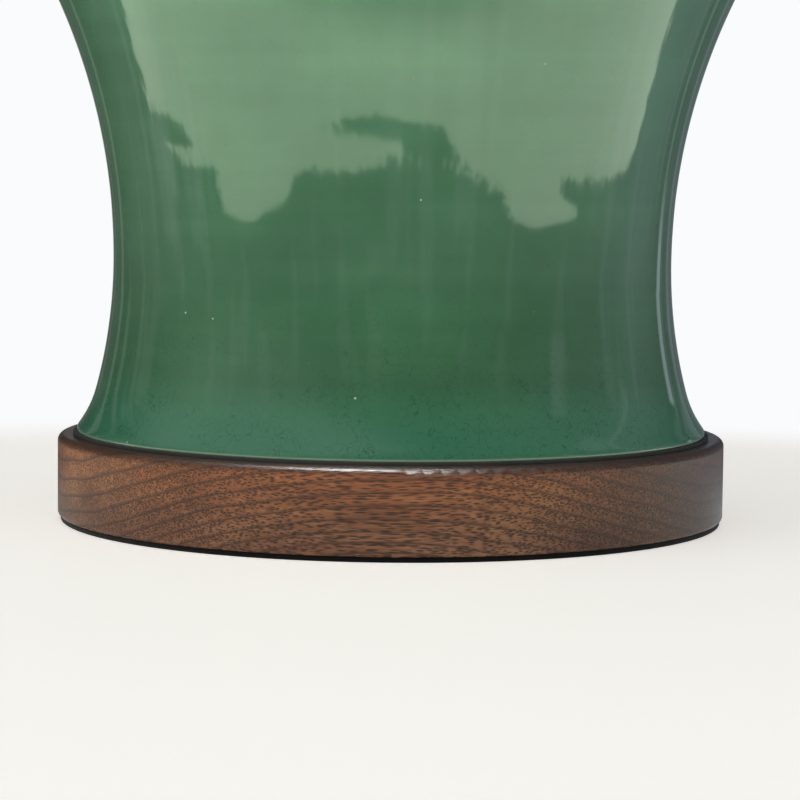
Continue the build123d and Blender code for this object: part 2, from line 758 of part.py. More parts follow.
# -------- terminal screws and rivets
for side, terminal_name in ((1, "hot_terminal_screw"), (-1, "neutral_terminal_screw")):
    with BuildPart() as terminal_screw:
        with BuildSketch(Plane.YZ.offset(side * terminal_seat)):
            with Locations((0, terminal_z)):
                Circle(terminal_head_radius)
        extrude(amount=side * terminal_head_thickness)
        with BuildSketch(Plane.YZ.offset(side * terminal_seat)):
            with Locations((0, terminal_z)):
                Circle(terminal_shank_radius)
        extrude(amount=-side * terminal_shank_length)
        with BuildSketch(Plane.YZ.offset(side * (terminal_seat + terminal_head_thickness))):
            with Locations((0, terminal_z)):
                Rectangle(2 * terminal_head_radius, terminal_slot_width)
        extrude(amount=-side * terminal_slot_depth, mode=Mode.SUBTRACT)
    save(terminal_screw, terminal_name)

with BuildPart() as socket_rivets:
    with BuildSketch(Plane.XY.offset(insulator_bottom)):
        with PolarLocations(rivet_circle, rivet_count, start_angle=rivet_angle):
            Circle(rivet_radius)
    extrude(amount=insulator_height + screw_shell_wall)
    for head_z in (insulator_bottom - rivet_head_thickness, insulator_top + screw_shell_wall):
        with BuildSketch(Plane.XY.offset(head_z)):
            with PolarLocations(rivet_circle, rivet_count, start_angle=rivet_angle):
                Circle(rivet_head_radius)
        extrude(amount=rivet_head_thickness)
save(socket_rivets, "socket_rivets")

# -------- switch: rotor with its shaft, bush and knob
rotor_front = rotor_length - rotor_back
bush_front = insulator_radius - layer_gap
with BuildPart() as switch_rotor:
    with BuildSketch(Plane.XZ.offset(-rotor_back)):
        with Locations((0, switch_z)):
            Circle(rotor_radius)
    extrude(amount=rotor_length)
    with BuildSketch(Plane.XZ.offset(rotor_front)):
        with Locations((0, switch_z)):
            Circle(shaft_radius)
    extrude(amount=shaft_length - rotor_front)
save(switch_rotor, "switch_rotor")

with BuildPart() as rotor_bush:
    with BuildSketch(Plane.XZ.offset(bush_front - rotor_bush_thickness)):
        with Locations((0, switch_z)):
            Circle(rotor_chamber_radius - thread_clearance)
            Circle(shaft_radius + turn_clearance, mode=Mode.SUBTRACT)
    extrude(amount=rotor_bush_thickness)
    with BuildSketch(Plane.XY.offset(switch_z - rotor_chamber_radius)):
        Circle(insulator_radius - layer_gap)
    extrude(amount=2 * rotor_chamber_radius, mode=Mode.INTERSECT)
save(rotor_bush, "rotor_bush")

with BuildPart() as switch_knob:
    knob_radius = shaft_radius + knob_wall
    with BuildSketch(Plane.XZ.offset(knob_back)):
        with Locations((0, switch_z)):
            Circle(knob_radius)
    extrude(amount=knob_length)
    knob_rims = switch_knob.edges().filter_by(GeomType.CIRCLE)
    fillet(knob_rims, radius=knob_flute_radius)
    with BuildSketch(Plane.XZ.offset(knob_back)):
        with Locations((0, switch_z)):
            with PolarLocations(knob_radius, knob_flutes):
                Circle(knob_flute_radius)
    extrude(amount=knob_length, mode=Mode.SUBTRACT)
    with BuildSketch(Plane.XZ.offset(knob_back)):
        with Locations((0, switch_z)):
            Circle(shaft_radius + thread_clearance)
    extrude(amount=knob_bore_depth + seat_gap, mode=Mode.SUBTRACT)
save(switch_knob, "switch_knob")

# -------- light bulb: tip, insulator and threaded cap
with BuildPart() as bulb_tip:
    with BuildSketch(Plane.XY.offset(tip_bottom)):
        Circle(bulb_tip_radius)
    extrude(amount=bulb_tip_height)
    lowest_edge = bulb_tip.edges().filter_by(GeomType.CIRCLE).sort_by(Axis.Z)[0]
    fillet(lowest_edge, radius=min(bulb_tip_round, 0.8 * bulb_tip_height))
save(bulb_tip, "bulb_tip")

with BuildPart() as bulb_insulator:
    with BuildSketch(Plane.XY.offset(tip_top)):
        Circle(bulb_tip_radius)
    with BuildSketch(Plane.XY.offset(bulb_insulator_top)):
        Circle(bulb_insulator_radius)
    loft()
save(bulb_insulator, "bulb_insulator")

thread_root_radius = bulb_thread_radius - bulb_thread_depth
cap_bore_radius = thread_root_radius - bulb_cap_wall
with BuildPart() as bulb_cap:
    with BuildSketch(Plane.XZ):
        with BuildLine():
            for turn in range(bulb_thread_turns):
                thread_z = bulb_insulator_top + turn * bulb_thread_pitch
                ThreePointArc(
                    (thread_root_radius, thread_z),
                    (bulb_thread_radius, thread_z + bulb_thread_pitch / 2),
                    (thread_root_radius, thread_z + bulb_thread_pitch),
                )
            Polyline(
                (thread_root_radius, bulb_thread_top),
                (bulb_thread_radius, bulb_cap_top),
                (cap_bore_radius, bulb_cap_top),
                (cap_bore_radius, bulb_insulator_top + bulb_cap_wall),
                (0, bulb_insulator_top + bulb_cap_wall),
                (0, bulb_insulator_top),
                (thread_root_radius, bulb_insulator_top),
            )
        make_face()
    revolve(axis=Axis.Z)
save(bulb_cap, "bulb_cap")


# -------- light bulb: glass, stem and filaments
def bulb_outline(inset):
    """Draws half of the glass, moved inwards by the inset, from the top of its cap to the crown."""
    flare = JernArc(
        start=(bulb_neck_radius - inset, bulb_cap_top),
        tangent=Vector(0, 1),
        radius=bulb_flare_radius + inset,
        arc_size=-bulb_glass_lean,
    )
    globe_radius = bulb_glass_radius - inset
    globe_turn = 90 + bulb_glass_lean
    globe = JernArc(start=flare @ 1, tangent=flare % 1, radius=globe_radius, arc_size=globe_turn)
    Polyline(globe @ 1, (0, bulb_cap_top), flare @ 0)


glass_tail_radius = cap_bore_radius - layer_gap
glass_bottom = bulb_cap_top - bulb_glass_in_cap
with BuildPart() as bulb_glass:
    with BuildSketch(Plane.XZ):
        with BuildLine():
            bulb_outline(0)
        make_face()
    revolve(axis=Axis.Z)
    with BuildSketch(Plane.XZ):
        with BuildLine():
            bulb_outline(bulb_glass_wall)
        make_face()
    revolve(axis=Axis.Z, mode=Mode.SUBTRACT)
    glass_tail_bore = glass_tail_radius - bulb_glass_wall
    tube(glass_tail_bore, glass_tail_radius, glass_bottom, bulb_cap_top)
    tube(glass_tail_bore, bulb_neck_radius, bulb_cap_top, bulb_cap_top + bulb_glass_wall)
save(bulb_glass, "bulb_glass")

with BuildPart() as bulb_stem:
    stem_foot_radius = glass_tail_radius - bulb_glass_wall - layer_gap
    with BuildSketch(Plane.XY.offset(glass_bottom)):
        Circle(stem_foot_radius)
    extrude(amount=bulb_glass_wall)
    with BuildSketch(Plane.XY.offset(glass_bottom)):
        Circle(bulb_stem_radius)
    extrude(amount=bulb_stem_length)
save(bulb_stem, "bulb_stem")

with BuildPart() as filament:
    filament_bottom = glass_bottom + filament_start
    filament_root = bulb_stem_radius - filament_radius
    filament_circle = bulb_stem_radius + filament_standoff
    with BuildLine(Plane.XZ):
        FilletPolyline(
            (filament_root, filament_bottom),
            (filament_circle, filament_bottom),
            (filament_circle, filament_bottom + filament_length),
            (filament_root, filament_bottom + filament_length),
            radius=2 * filament_radius,
        )
    with BuildSketch(Plane.YZ.offset(filament_root)):
        with Locations((0, filament_bottom)):
            Circle(filament_radius)
    sweep()

with BuildPart() as bulb_filaments:
    with PolarLocations(0, filament_count):
        add(filament.part)
    with BuildSketch(Plane.XY.offset(glass_bottom)):
        Circle(bulb_stem_radius)
    extrude(amount=bulb_stem_length, mode=Mode.SUBTRACT)
save(bulb_filaments, "bulb_filaments")

# -------- harp, bent from one wire with a lug at its top
lug_z = shade_seat - stud_flange_thickness - harp_lug_thickness / 2
side_lean = harp_side_turn - harp_spread_turn
harp_side_radius = (
    lug_z
    - leg_bottom
    - harp_leg_length
    - arc_rise(harp_spread_radius, 0, harp_spread_turn)
    - arc_rise(harp_shoulder_radius, side_lean, 90)
) / (sin(radians(harp_spread_turn)) + sin(radians(side_lean)))
lug_bore_radius = stud_neck_radius + turn_clearance
with BuildPart() as harp_wire:
    with BuildLine(Plane.XZ):
        leg = Line((leg_x, leg_bottom), (leg_x, leg_bottom + harp_leg_length))
        spread = JernArc(
            start=leg @ 1, tangent=leg % 1, radius=harp_spread_radius, arc_size=-harp_spread_turn
        )
        bow = JernArc(
            start=spread @ 1, tangent=spread % 1, radius=harp_side_radius, arc_size=harp_side_turn
        )
        bend = JernArc(
            start=bow @ 1, tangent=bow % 1, radius=harp_shoulder_radius, arc_size=90 - side_lean
        )
        top = Line(bend @ 1, Vector(0, 0, (bend @ 1).Z))
        mirror(about=Plane.YZ)
    with BuildSketch(Plane(origin=leg @ 0, z_dir=leg % 0)):
        Circle(harp_wire_radius)
    sweep()
    with BuildSketch(Plane.XY.offset(lug_z - harp_lug_thickness / 2)):
        Circle(lug_bore_radius + harp_lug_wall)
    extrude(amount=harp_lug_thickness)
    with BuildSketch(Plane.XY.offset(lug_z - harp_lug_thickness / 2)):
        Circle(lug_bore_radius)
    extrude(amount=harp_lug_thickness, mode=Mode.SUBTRACT)
save(harp_wire, "harp_wire")

# -------- ferrules that lock the harp to its saddle
for side, ferrule_name in ((-1, "harp_ferrule_left"), (1, "harp_ferrule_right")):
    with BuildPart() as harp_ferrule:
        with BuildSketch(Plane.XY.offset(arm_top)):
            with Locations((side * leg_x, 0)):
                Circle(ferrule_radius)
                Circle(ferrule_bore_radius, mode=Mode.SUBTRACT)
        extrude(amount=ferrule_length)
        top_circles = harp_ferrule.edges().filter_by(GeomType.CIRCLE).group_by(Axis.Z)[-1]
        chamfer(top_circles.sort_by(SortBy.RADIUS)[-1], length=min(ferrule_chamfer, 0.8 * ferrule_wall))
    save(harp_ferrule, ferrule_name)

# -------- swivel stud in the harp's lug
with BuildPart() as harp_stud:
    lug_bottom = lug_z - harp_lug_thickness / 2
    lug_top = lug_z + harp_lug_thickness / 2
    stud_top = shade_seat + stud_length
    stud_pieces = (
        (stud_neck_radius + stud_head_width, lug_bottom - stud_head_thickness, lug_bottom),
        (stud_neck_radius, lug_bottom, lug_top),
        (stud_neck_radius + stud_flange_width, lug_top, shade_seat),
        (stud_radius, shade_seat, stud_top),
    )
    for step_radius, step_bottom, step_top in stud_pieces:
        with BuildSketch(Plane.XY.offset(step_bottom)):
            Circle(step_radius)
        extrude(amount=step_top - step_bottom)
    chamfer(harp_stud.edges().filter_by(GeomType.CIRCLE).sort_by(Axis.Z)[-1], length=stud_chamfer)
save(harp_stud, "harp_stud")


# -------- shade
def linen_outside(height):
    """Radius of the shade's outer face at a height above its bottom edge."""
    return shade_bottom_radius - shade_slope * height


backing_inset = linen_thickness + layer_gap
ring_inset = backing_inset + backing_thickness + layer_gap
trim_inset = ring_inset + (2 + 2 * shade_slope) * shade_ring_radius + layer_gap

with BuildPart() as shade_linen:
    with BuildSketch(Plane.XZ):
        with BuildLine():
            Polyline(
                (linen_outside(0), shade_bottom),
                (linen_outside(shade_height), shade_top),
                (linen_outside(shade_height) - linen_thickness, shade_top),
                (linen_outside(0) - linen_thickness, shade_bottom),
                close=True,
            )
        make_face()
    revolve(axis=Axis.Z)
save(shade_linen, "shade_linen")

with BuildPart() as shade_backing:
    with BuildSketch(Plane.XZ):
        with BuildLine():
            Polyline(
                (linen_outside(0) - backing_inset, shade_bottom),
                (linen_outside(shade_height) - backing_inset, shade_top),
                (linen_outside(shade_height) - backing_inset - backing_thickness, shade_top),
                (linen_outside(0) - backing_inset - backing_thickness, shade_bottom),
                close=True,
            )
        make_face()
    revolve(axis=Axis.Z)
save(shade_backing, "shade_backing")

bottom_ring_z = shade_bottom + shade_ring_radius
bottom_ring_centre = linen_outside(2 * shade_ring_radius) - ring_inset - shade_ring_radius
with BuildPart() as shade_bottom_ring:
    with BuildSketch(Plane.XZ):
        with Locations((bottom_ring_centre, bottom_ring_z)):
            Circle(shade_ring_radius)
    revolve(axis=Axis.Z)
save(shade_bottom_ring, "shade_bottom_ring")

top_ring_z = shade_top - shade_ring_radius
top_ring_centre = linen_outside(shade_height) - ring_inset - shade_ring_radius
with BuildPart() as shade_top_ring:
    with BuildSketch(Plane.XZ):
        with Locations((top_ring_centre, top_ring_z)):
            Circle(shade_ring_radius)
    revolve(axis=Axis.Z)
save(shade_top_ring, "shade_top_ring")

with BuildPart() as spider_arm:
    arm_start = spider_washer_radius - spider_arm_radius
    arm_z = shade_seat + spider_washer_thickness / 2
    with BuildLine(Plane.XZ):
        FilletPolyline(
            (arm_start, arm_z),
            (top_ring_centre - spider_bend_reach, arm_z),
            (top_ring_centre - shade_ring_radius / 2, top_ring_z - shade_ring_radius / 2),
            radius=spider_bend_reach / 2,
        )
    with BuildSketch(Plane.YZ.offset(arm_start)):
        with Locations((0, arm_z)):
            Circle(spider_arm_radius)
    sweep()

with BuildPart() as shade_spider:
    with PolarLocations(0, spider_arm_count, start_angle=spider_first_arm):
        add(spider_arm.part)
    tube(spider_washer_bore, spider_washer_radius, shade_seat, spider_top)
    with BuildSketch(Plane.XZ):
        with Locations((top_ring_centre, top_ring_z)):
            Circle(shade_ring_radius + layer_gap)
    revolve(axis=Axis.Z, mode=Mode.SUBTRACT)
save(shade_spider, "shade_spider")


def trim_points(edge_z, up, edge_height):
    """Corners of the tape folded over the shade's edge; up is 1 at the bottom edge and -1 at the top."""
    inner_fold = linen_outside(edge_height) - trim_inset
    outer_fold = linen_outside(edge_height) + layer_gap
    outer_end = linen_outside(edge_height + up * trim_height) + layer_gap
    fold_z = edge_z - up * layer_gap
    return (
        (outer_fold, fold_z),
        (outer_end, edge_z + up * trim_height),
        (outer_end + trim_thickness, edge_z + up * trim_height),
        (outer_fold + trim_thickness, fold_z - up * trim_thickness),
        (inner_fold - trim_thickness, fold_z - up * trim_thickness),
        (inner_fold - trim_thickness, edge_z + up * trim_return),
        (inner_fold, edge_z + up * trim_return),
        (inner_fold, fold_z),
    )


for trim_name, edge_z, up, edge_height in (
    ("shade_bottom_trim", shade_bottom, 1, 0),
    ("shade_top_trim", shade_top, -1, shade_height),
):
    with BuildPart() as shade_trim:
        with BuildSketch(Plane.XZ):
            with BuildLine():
                Polyline(*trim_points(edge_z, up, edge_height), close=True)
            make_face()
        revolve(axis=Axis.Z)
        if up < 0:
            with BuildSketch(Plane.XY.offset(shade_top - trim_return)):
                with PolarLocations(top_ring_centre / 2, spider_arm_count, start_angle=spider_first_arm):
                    Rectangle(top_ring_centre, 2 * (spider_arm_radius + slip_clearance))
            extrude(amount=trim_return, mode=Mode.SUBTRACT)
    save(shade_trim, trim_name)

# -------- finial: brass insert, brass collar, walnut ball
insert_top = spider_top + finial_insert_length
collar_top = spider_top + finial_collar_height
ball_bottom = collar_top + finial_neck_height
finial_insert_radius = stud_radius + thread_clearance + finial_insert_wall
finial_bore_radius = finial_insert_radius + turn_clearance
finial_neck_radius = finial_bore_radius + finial_neck_wall
ball_centre = ball_bottom + (finial_ball_radius**2 - finial_neck_radius**2) ** 0.5
with BuildPart() as finial_insert:
    tube(stud_radius + thread_clearance, finial_insert_radius, spider_top, insert_top)
save(finial_insert, "finial_insert")

with BuildPart() as finial_collar:
    tube(finial_bore_radius, finial_bore_radius + finial_collar_width, spider_top, collar_top)
    collar_rims = finial_collar.edges().filter_by(GeomType.CIRCLE).group_by(SortBy.RADIUS)[-1]
    fillet(collar_rims, radius=min(finial_collar_round, 0.4 * finial_collar_height))
save(finial_collar, "finial_collar")

with BuildPart() as finial_knob:
    with Locations((0, 0, ball_centre)):
        Sphere(finial_ball_radius)
    split(bisect_by=Plane.XY.offset(ball_bottom), keep=Keep.TOP)
    with BuildSketch(Plane.XY.offset(collar_top)):
        Circle(finial_neck_radius)
    extrude(amount=finial_neck_height)
    with BuildSketch(Plane.XY.offset(collar_top)):
        Circle(finial_bore_radius)
    extrude(amount=max(insert_top, stud_top) + seat_gap - collar_top, mode=Mode.SUBTRACT)
save(finial_knob, "finial_knob")
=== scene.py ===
import bmesh
import bpy
import json
import math
import numpy as np
from mathutils import Matrix, Vector


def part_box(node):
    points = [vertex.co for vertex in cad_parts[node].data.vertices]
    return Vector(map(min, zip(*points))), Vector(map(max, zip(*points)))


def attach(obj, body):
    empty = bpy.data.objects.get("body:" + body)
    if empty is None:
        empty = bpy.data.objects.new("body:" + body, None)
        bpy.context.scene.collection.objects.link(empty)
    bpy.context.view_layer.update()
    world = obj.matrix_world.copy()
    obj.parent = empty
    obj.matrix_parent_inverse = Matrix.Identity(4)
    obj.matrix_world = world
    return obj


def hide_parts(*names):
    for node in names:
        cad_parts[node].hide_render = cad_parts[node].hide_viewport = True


# A table lamp with a crackle-glazed jar on a walnut base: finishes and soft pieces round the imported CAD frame.
# Metres everywhere, +Z up, the lamp's axis at x = y = 0 and its front towards -Y.

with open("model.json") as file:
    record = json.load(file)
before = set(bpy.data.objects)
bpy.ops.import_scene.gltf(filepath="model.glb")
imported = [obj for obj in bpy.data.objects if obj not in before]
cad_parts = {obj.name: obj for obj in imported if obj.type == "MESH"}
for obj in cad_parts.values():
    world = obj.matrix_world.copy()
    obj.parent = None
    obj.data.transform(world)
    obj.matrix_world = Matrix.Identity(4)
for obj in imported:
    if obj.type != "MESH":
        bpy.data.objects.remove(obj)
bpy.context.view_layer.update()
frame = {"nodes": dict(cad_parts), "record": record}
nodes = frame["nodes"]
mm = 0.001


# ---- materials: tools
def toLinear(hexColour):
    # sRGB to linear: c / 12.92 up to 0.04045, and ((c + 0.055) / 1.055) ** 2.4 above it
    parts = [int(hexColour[i:i + 2], 16) / 255 for i in (1, 3, 5)]
    return [c / 12.92 if c <= 0.04045 else ((c + 0.055) / 1.055) ** 2.4 for c in parts] + [1.0]


def add(tree, kind, inputs=None, stops=None, **settings):
    # adds one shader node: settings are its properties, stops a ramp's colours, and inputs its sockets' values,
    # where a node stands for its first output and a hex string for a colour
    node = tree.nodes.new("ShaderNode" + kind)
    for key, value in settings.items():
        setattr(node, key, value)
    if stops:
        elements = node.color_ramp.elements
        while len(elements) < len(stops):
            elements.new(0.5)
        for element, (place, colour) in zip(elements, stops):
            element.position = place
            element.color = toLinear(colour)
    for socket, value in (inputs or {}).items():
        if isinstance(value, bpy.types.Node):
            value = value.outputs[0]
        if isinstance(value, bpy.types.NodeSocket):
            tree.links.new(value, node.inputs[socket])
        elif isinstance(value, str):
            node.inputs[socket].default_value = toLinear(value)
        else:
            node.inputs[socket].default_value = value
    return node


def newMaterial(name):
    # an empty material and the object coordinates that its patterns are laid out in, in metres
    material = bpy.data.materials.new(name)
    material.use_nodes = True
    tree = material.node_tree
    tree.nodes.clear()
    return material, tree, add(tree, "TexCoord").outputs["Object"]


def finishWith(tree, inputs):
    # closes a material with a Principled shader
    shader = add(tree, "BsdfPrincipled", inputs)
    add(tree, "OutputMaterial", {"Surface": shader})


def paint(material, *pieces):
    for piece in pieces:
        piece = nodes[piece] if isinstance(piece, str) else piece
        piece.data.materials.clear()
        piece.data.materials.append(material)


# ---- shapes: tools
def meshPiece(name, points, quads, material, body, replaced, uvs=None):
    # a smooth mesh object from an (n, 3) array of points and an (m, 4) array of corners; it stands for CAD
    # nodes. uvs has a row for each corner of each quad; without them, points that coincide are merged.
    mesh = bpy.data.meshes.new(name)
    mesh.from_pydata(points.tolist(), [], quads.tolist())
    if uvs is None:
        work = bmesh.new()
        work.from_mesh(mesh)
        bmesh.ops.remove_doubles(work, verts=work.verts, dist=0.001 * mm)
        work.to_mesh(mesh)
        work.free()
    else:
        mesh.uv_layers.new(name="UVMap").data.foreach_set("uv", uvs.ravel())
    mesh.polygons.foreach_set("use_smooth", np.ones(len(mesh.polygons), bool))
    mesh.update()
    piece = bpy.data.objects.new(name, mesh)
    bpy.context.scene.collection.objects.link(piece)
    paint(material, piece)
    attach(piece, body)
    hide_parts(*replaced)
    return piece


def arcChain(start, lean, arcs, step):
    # profile points (r, z) along tangent arcs (radius, turn in degrees), from a start with a lean in radians;
    # each chord of an arc is its arc length times sin(h) / h, with h half the angle that it spans
    r, z = start
    points = [(r, z)]
    for radius, turn in arcs:
        sweep = math.radians(turn)
        count = max(2, math.ceil(radius * abs(sweep) / step))
        half = abs(sweep) / count / 2
        chord = radius * 2 * math.sin(half)
        angles = lean + sweep * (np.arange(count) + 0.5) / count
        rs = r - np.cumsum(np.sin(angles)) * chord
        zs = z + np.cumsum(np.cos(angles)) * chord
        points += list(zip(rs, zs))
        r, z, lean = rs[-1], zs[-1], lean + sweep
    return np.array(points)


def roundCorners(corners, radius, count=4):
    # a closed outline (r, z) whose corners are quadratic curves, from a radius before each corner to a radius
    # after it, which bend towards the corner itself
    corners = np.asarray(corners, float)
    before = np.roll(corners, 1, 0) - corners
    after = np.roll(corners, -1, 0) - corners
    sizes = [np.linalg.norm(side, axis=1)[:, None] for side in (before, after)]
    starts = corners + before / sizes[0] * np.minimum(radius, sizes[0] * 0.45)
    ends = corners + after / sizes[1] * np.minimum(radius, sizes[1] * 0.45)
    t = np.linspace(0, 1, count)[None, :, None]
    fan = (1 - t) ** 2 * starts[:, None] + 2 * t * (1 - t) * corners[:, None] + t ** 2 * ends[:, None]
    return fan.reshape(-1, 2)


def latheGrid(profile, angles, change=None):
    # turns profile points (r, z) about the lamp's axis: x = r cos a, y = r sin a; change alters r and z first
    a = angles[None, :]
    r = np.repeat(profile[:, :1], len(angles), 1)
    z = np.repeat(profile[:, 1:], len(angles), 1)
    if change:
        r, z = change(r, z, a)
    return np.stack([r * np.cos(a), r * np.sin(a), z], -1).reshape(-1, 3)


def latheQuads(rows, columns):
    # quads between neighbouring rows and columns of a closed profile, each way joined up to its start
    row = np.arange(rows)[:, None] * columns
    nextRow = (np.arange(rows)[:, None] + 1) % rows * columns
    column = np.arange(columns)[None, :]
    nextColumn = (column + 1) % columns
    return np.stack([row + column, row + nextColumn, nextRow + nextColumn, nextRow + column], -1).reshape(-1, 4)


def latheUvs(profile, angles, radius):
    # flat cloth coordinates in metres for the same quads: angle times radius, and the length along the profile
    u = np.append(angles, angles[0] + 2 * math.pi) * radius
    sides = np.linalg.norm(np.roll(profile, -1, 0) - profile, axis=1)
    v = np.concatenate([[0], np.cumsum(sides)])
    left, right = np.meshgrid(u[:-1], v[:-1])[0], np.meshgrid(u[1:], v[:-1])[0]
    low, high = np.meshgrid(u[:-1], v[:-1])[1], np.meshgrid(u[:-1], v[1:])[1]
    corners = [np.stack(pair, -1) for pair in ((left, low), (right, low), (right, high), (left, high))]
    return np.stack(corners, 2).reshape(-1, 2)


def anglesWith(count, steps=(), width=0.0):
    # evenly spread angles, with two more beside each step, width apart, so that an edge there is crisp
    extra = [step + side * width / 2 for step in steps for side in (-1, 1)]
    return np.unique(np.concatenate([np.arange(count) / count * 2 * math.pi, np.mod(extra, 2 * math.pi)]))


print("frame loaded:", len(nodes), "CAD nodes")

# ---- camera: a long lens just above the base's height, tipped down and turned a little
camera = {
    "lens": 119.5,  # mm on a 36 mm sensor
    "place": (0.0, -0.8128, 0.1033),
    "pitch": -0.0827,  # radians, as are the next two
    "yaw": -0.0033,
    "roll": 0.0103,
}
cameraData = bpy.data.cameras.new("camera")
cameraData.lens = camera["lens"]
cameraData.sensor_width = 36
cameraData.clip_start = 0.05
cameraObject = bpy.data.objects.new("camera", cameraData)
cameraObject.matrix_world = (
    Matrix.Translation(camera["place"])
    @ Matrix.Rotation(camera["yaw"], 4, "Z")
    @ Matrix.Rotation(math.pi / 2 + camera["pitch"], 4, "X")
    @ Matrix.Rotation(camera["roll"], 4, "Z")
)
bpy.context.scene.collection.objects.link(cameraObject)
bpy.context.scene.camera = cameraObject
bpy.context.scene.view_settings.view_transform = "Standard"

# ---- the dim room that gloss mirrors: lighter below eye level, dark beyond the lamp's sides, with faint upright
# panes and a few narrow windows
room = {
    "colour": "#F2F6F4",
    "rightColour": "#D0DEEA",
    "below": 0.40,  # strength below eye level and above it
    "above": 0.15,
    "sides": (105, 140, 0.28),  # degrees from the front where it fades, and what is left
    "rightMore": 0.40,  # added towards the right
    "panes": 0.18,
    "windows": (  # azimuth and half-width in degrees, lowest and highest rise, strength
        (-96, 6.0, -0.175, -0.128, 0.42), (-81, 4.5, -0.165, -0.130, 0.34),
        (-97, 4.0, -0.122, -0.070, 0.26), (-82, 2.5, -0.122, -0.070, 0.24),
        (-6, 4.0, -0.105, -0.010, 0.13), (8, 5.0, -0.045, 0.020, 0.11),
        (69, 3.5, 0.14, 0.42, 0.25), (94, 5.5, 0.59, 0.90, 0.30), (103, 1.4, 0.20, 0.72, 0.35),
        (138, 2.0, -0.060, 0.110, 0.90), (137, 1.3, -0.250, -0.060, 0.30),
    ),
    "white": "#FAFBFC",
    "backdrop": (0.975, 0.992),
    "glowFrom": (-68, 48),
    "glowWidth": (0.60, 0.95),
    "glow": 0.5,
    "matt": (0.46, 0.32),  # strength that matt surfaces see on the left and on the right
}


def roomAt(tree, azimuth, rise):
    # strength and colour of the room in a direction: its azimuth in degrees, positive to the right of the
    # front, and its rise, which is 1 straight up
    away = add(tree, "Math", {0: azimuth}, operation="ABSOLUTE")
    rightness = add(tree, "MapRange", {0: azimuth, 1: 30.0, 2: 110.0})
    base = add(tree, "MapRange", {0: rise, 1: -0.05, 2: 0.12, 3: room["below"], 4: room["above"]},
               interpolation_type="SMOOTHSTEP")
    base = add(tree, "Math", {0: rightness, 1: room["rightMore"], 2: base}, operation="MULTIPLY_ADD")
    start, stop, left = room["sides"]
    sides = add(tree, "MapRange", {0: away, 1: start, 2: stop, 3: 1.0, 4: left}, interpolation_type="SMOOTHSTEP")
    level = add(tree, "Math", {0: base, 1: sides}, operation="MULTIPLY")
    upright = add(tree, "CombineXYZ", {0: azimuth, 1: rise})
    squeezed = add(tree, "Mapping", {0: upright, 3: (0.122, 1.6, 1.0)})
    streaks = add(tree, "TexNoise", {"Vector": squeezed, "Scale": 1.0, "Detail": 1.5, "Roughness": 0.6})
    pane = add(tree, "MapRange", {0: streaks, 1: 0.52, 2: 0.62, 4: room["panes"]}, interpolation_type="SMOOTHSTEP")
    low = add(tree, "MapRange", {0: rise, 1: 0.5, 2: 0.2}, interpolation_type="SMOOTHSTEP")
    lowPane = add(tree, "Math", {0: pane, 1: low}, operation="MULTIPLY")
    level = add(tree, "Math", {0: level, 1: lowPane}, operation="ADD")
    for middle, half, lowest, highest, strength in room["windows"]:
        side = add(tree, "Math", {0: azimuth, 1: middle}, operation="SUBTRACT")
        side = add(tree, "Math", {0: side}, operation="ABSOLUTE")
        across = add(tree, "MapRange", {0: side, 1: 1.3 * half, 2: 0.7 * half, 4: strength})
        above = add(tree, "MapRange", {0: rise, 1: lowest - 0.012, 2: lowest + 0.012})
        below = add(tree, "MapRange", {0: rise, 1: highest + 0.012, 2: highest - 0.012})
        window = add(tree, "Math", {0: across, 1: above}, operation="MULTIPLY")
        level = add(tree, "Math", {0: window, 1: below, 2: level}, operation="MULTIPLY_ADD")
    colour = add(tree, "Mix", {0: rightness, 6: room["colour"], 7: room["rightColour"]}, data_type="RGBA")
    return level, colour.outputs[2]


def whereabouts(tree, vector):
    # azimuth in degrees, 0 at the front and positive to the right, and the height of a place or direction
    parts = add(tree, "SeparateXYZ", {0: vector})
    front = add(tree, "Math", {0: parts.outputs["Y"], 1: -1.0}, operation="MULTIPLY")
    turn = add(tree, "Math", {0: parts.outputs["X"], 1: front}, operation="ARCTAN2")
    azimuth = add(tree, "Math", {0: turn, 1: 180 / math.pi}, operation="MULTIPLY")
    return azimuth, parts


# ---- floor: pale paper that turns to the white of the backdrop away from the lamp
studio = {
    "floorColour": "#EFEBE7",
    "floorHalf": 6.0,
    "fadeCentre": (0.0, -0.10),
    "fade": (0.33, 0.45),
    "ownLight": 0.63,
    "ownSides": (-0.10, 0.16, 0.40),  # x where it starts and stops falling to the right, and what is left
    "poolColour": "#EDFFDF",
    "poolNear": (0.245, 0.12),  # distance from the lamp's axis and strength, and the same further out
    "poolFar": (0.297, 2.25),
    "poolEdge": (  # azimuth in degrees, and how far the pool reaches there
        (-120, 0.0), (-103, 0.0), (-101, 0.555), (-92, 0.590), (-85, 0.586), (-78, 0.565), (-68, 0.530),
        (-67, 0.735), (-57, 0.795), (-53, 0.765), (-49, 0.680), (-41, 0.620), (-38, 0.546), (-36, 0.488),
        (-31, 0.467), (-13, 0.460), (-4, 0.431), (7, 0.418), (20, 0.436), (26, 0.466), (40, 0.540),
        (42, 0.625), (46, 0.716), (55, 0.841), (63, 0.805), (74, 0.780), (75, 0.585), (85, 0.640),
        (100, 0.680), (104, 0.610), (106, 0.0), (120, 0.0),
    ),
    "wander": (0.15, 14.0),  # metres along a ray from the axis, and degrees round it
    "skyHeight": 0.10,  # height of the glaze that mirrors the room's lower half
    "shadows": (  # place, half-lengths and turn in degrees
        ((0.020, -0.376), (0.152, 0.016), -8),
        ((0.086, -0.394), (0.068, 0.034), 0),
        ((0.618, -0.196), (0.118, 0.042), 23),
        ((-0.542, 0.004), (0.115, 0.028), 109),
    ),
}


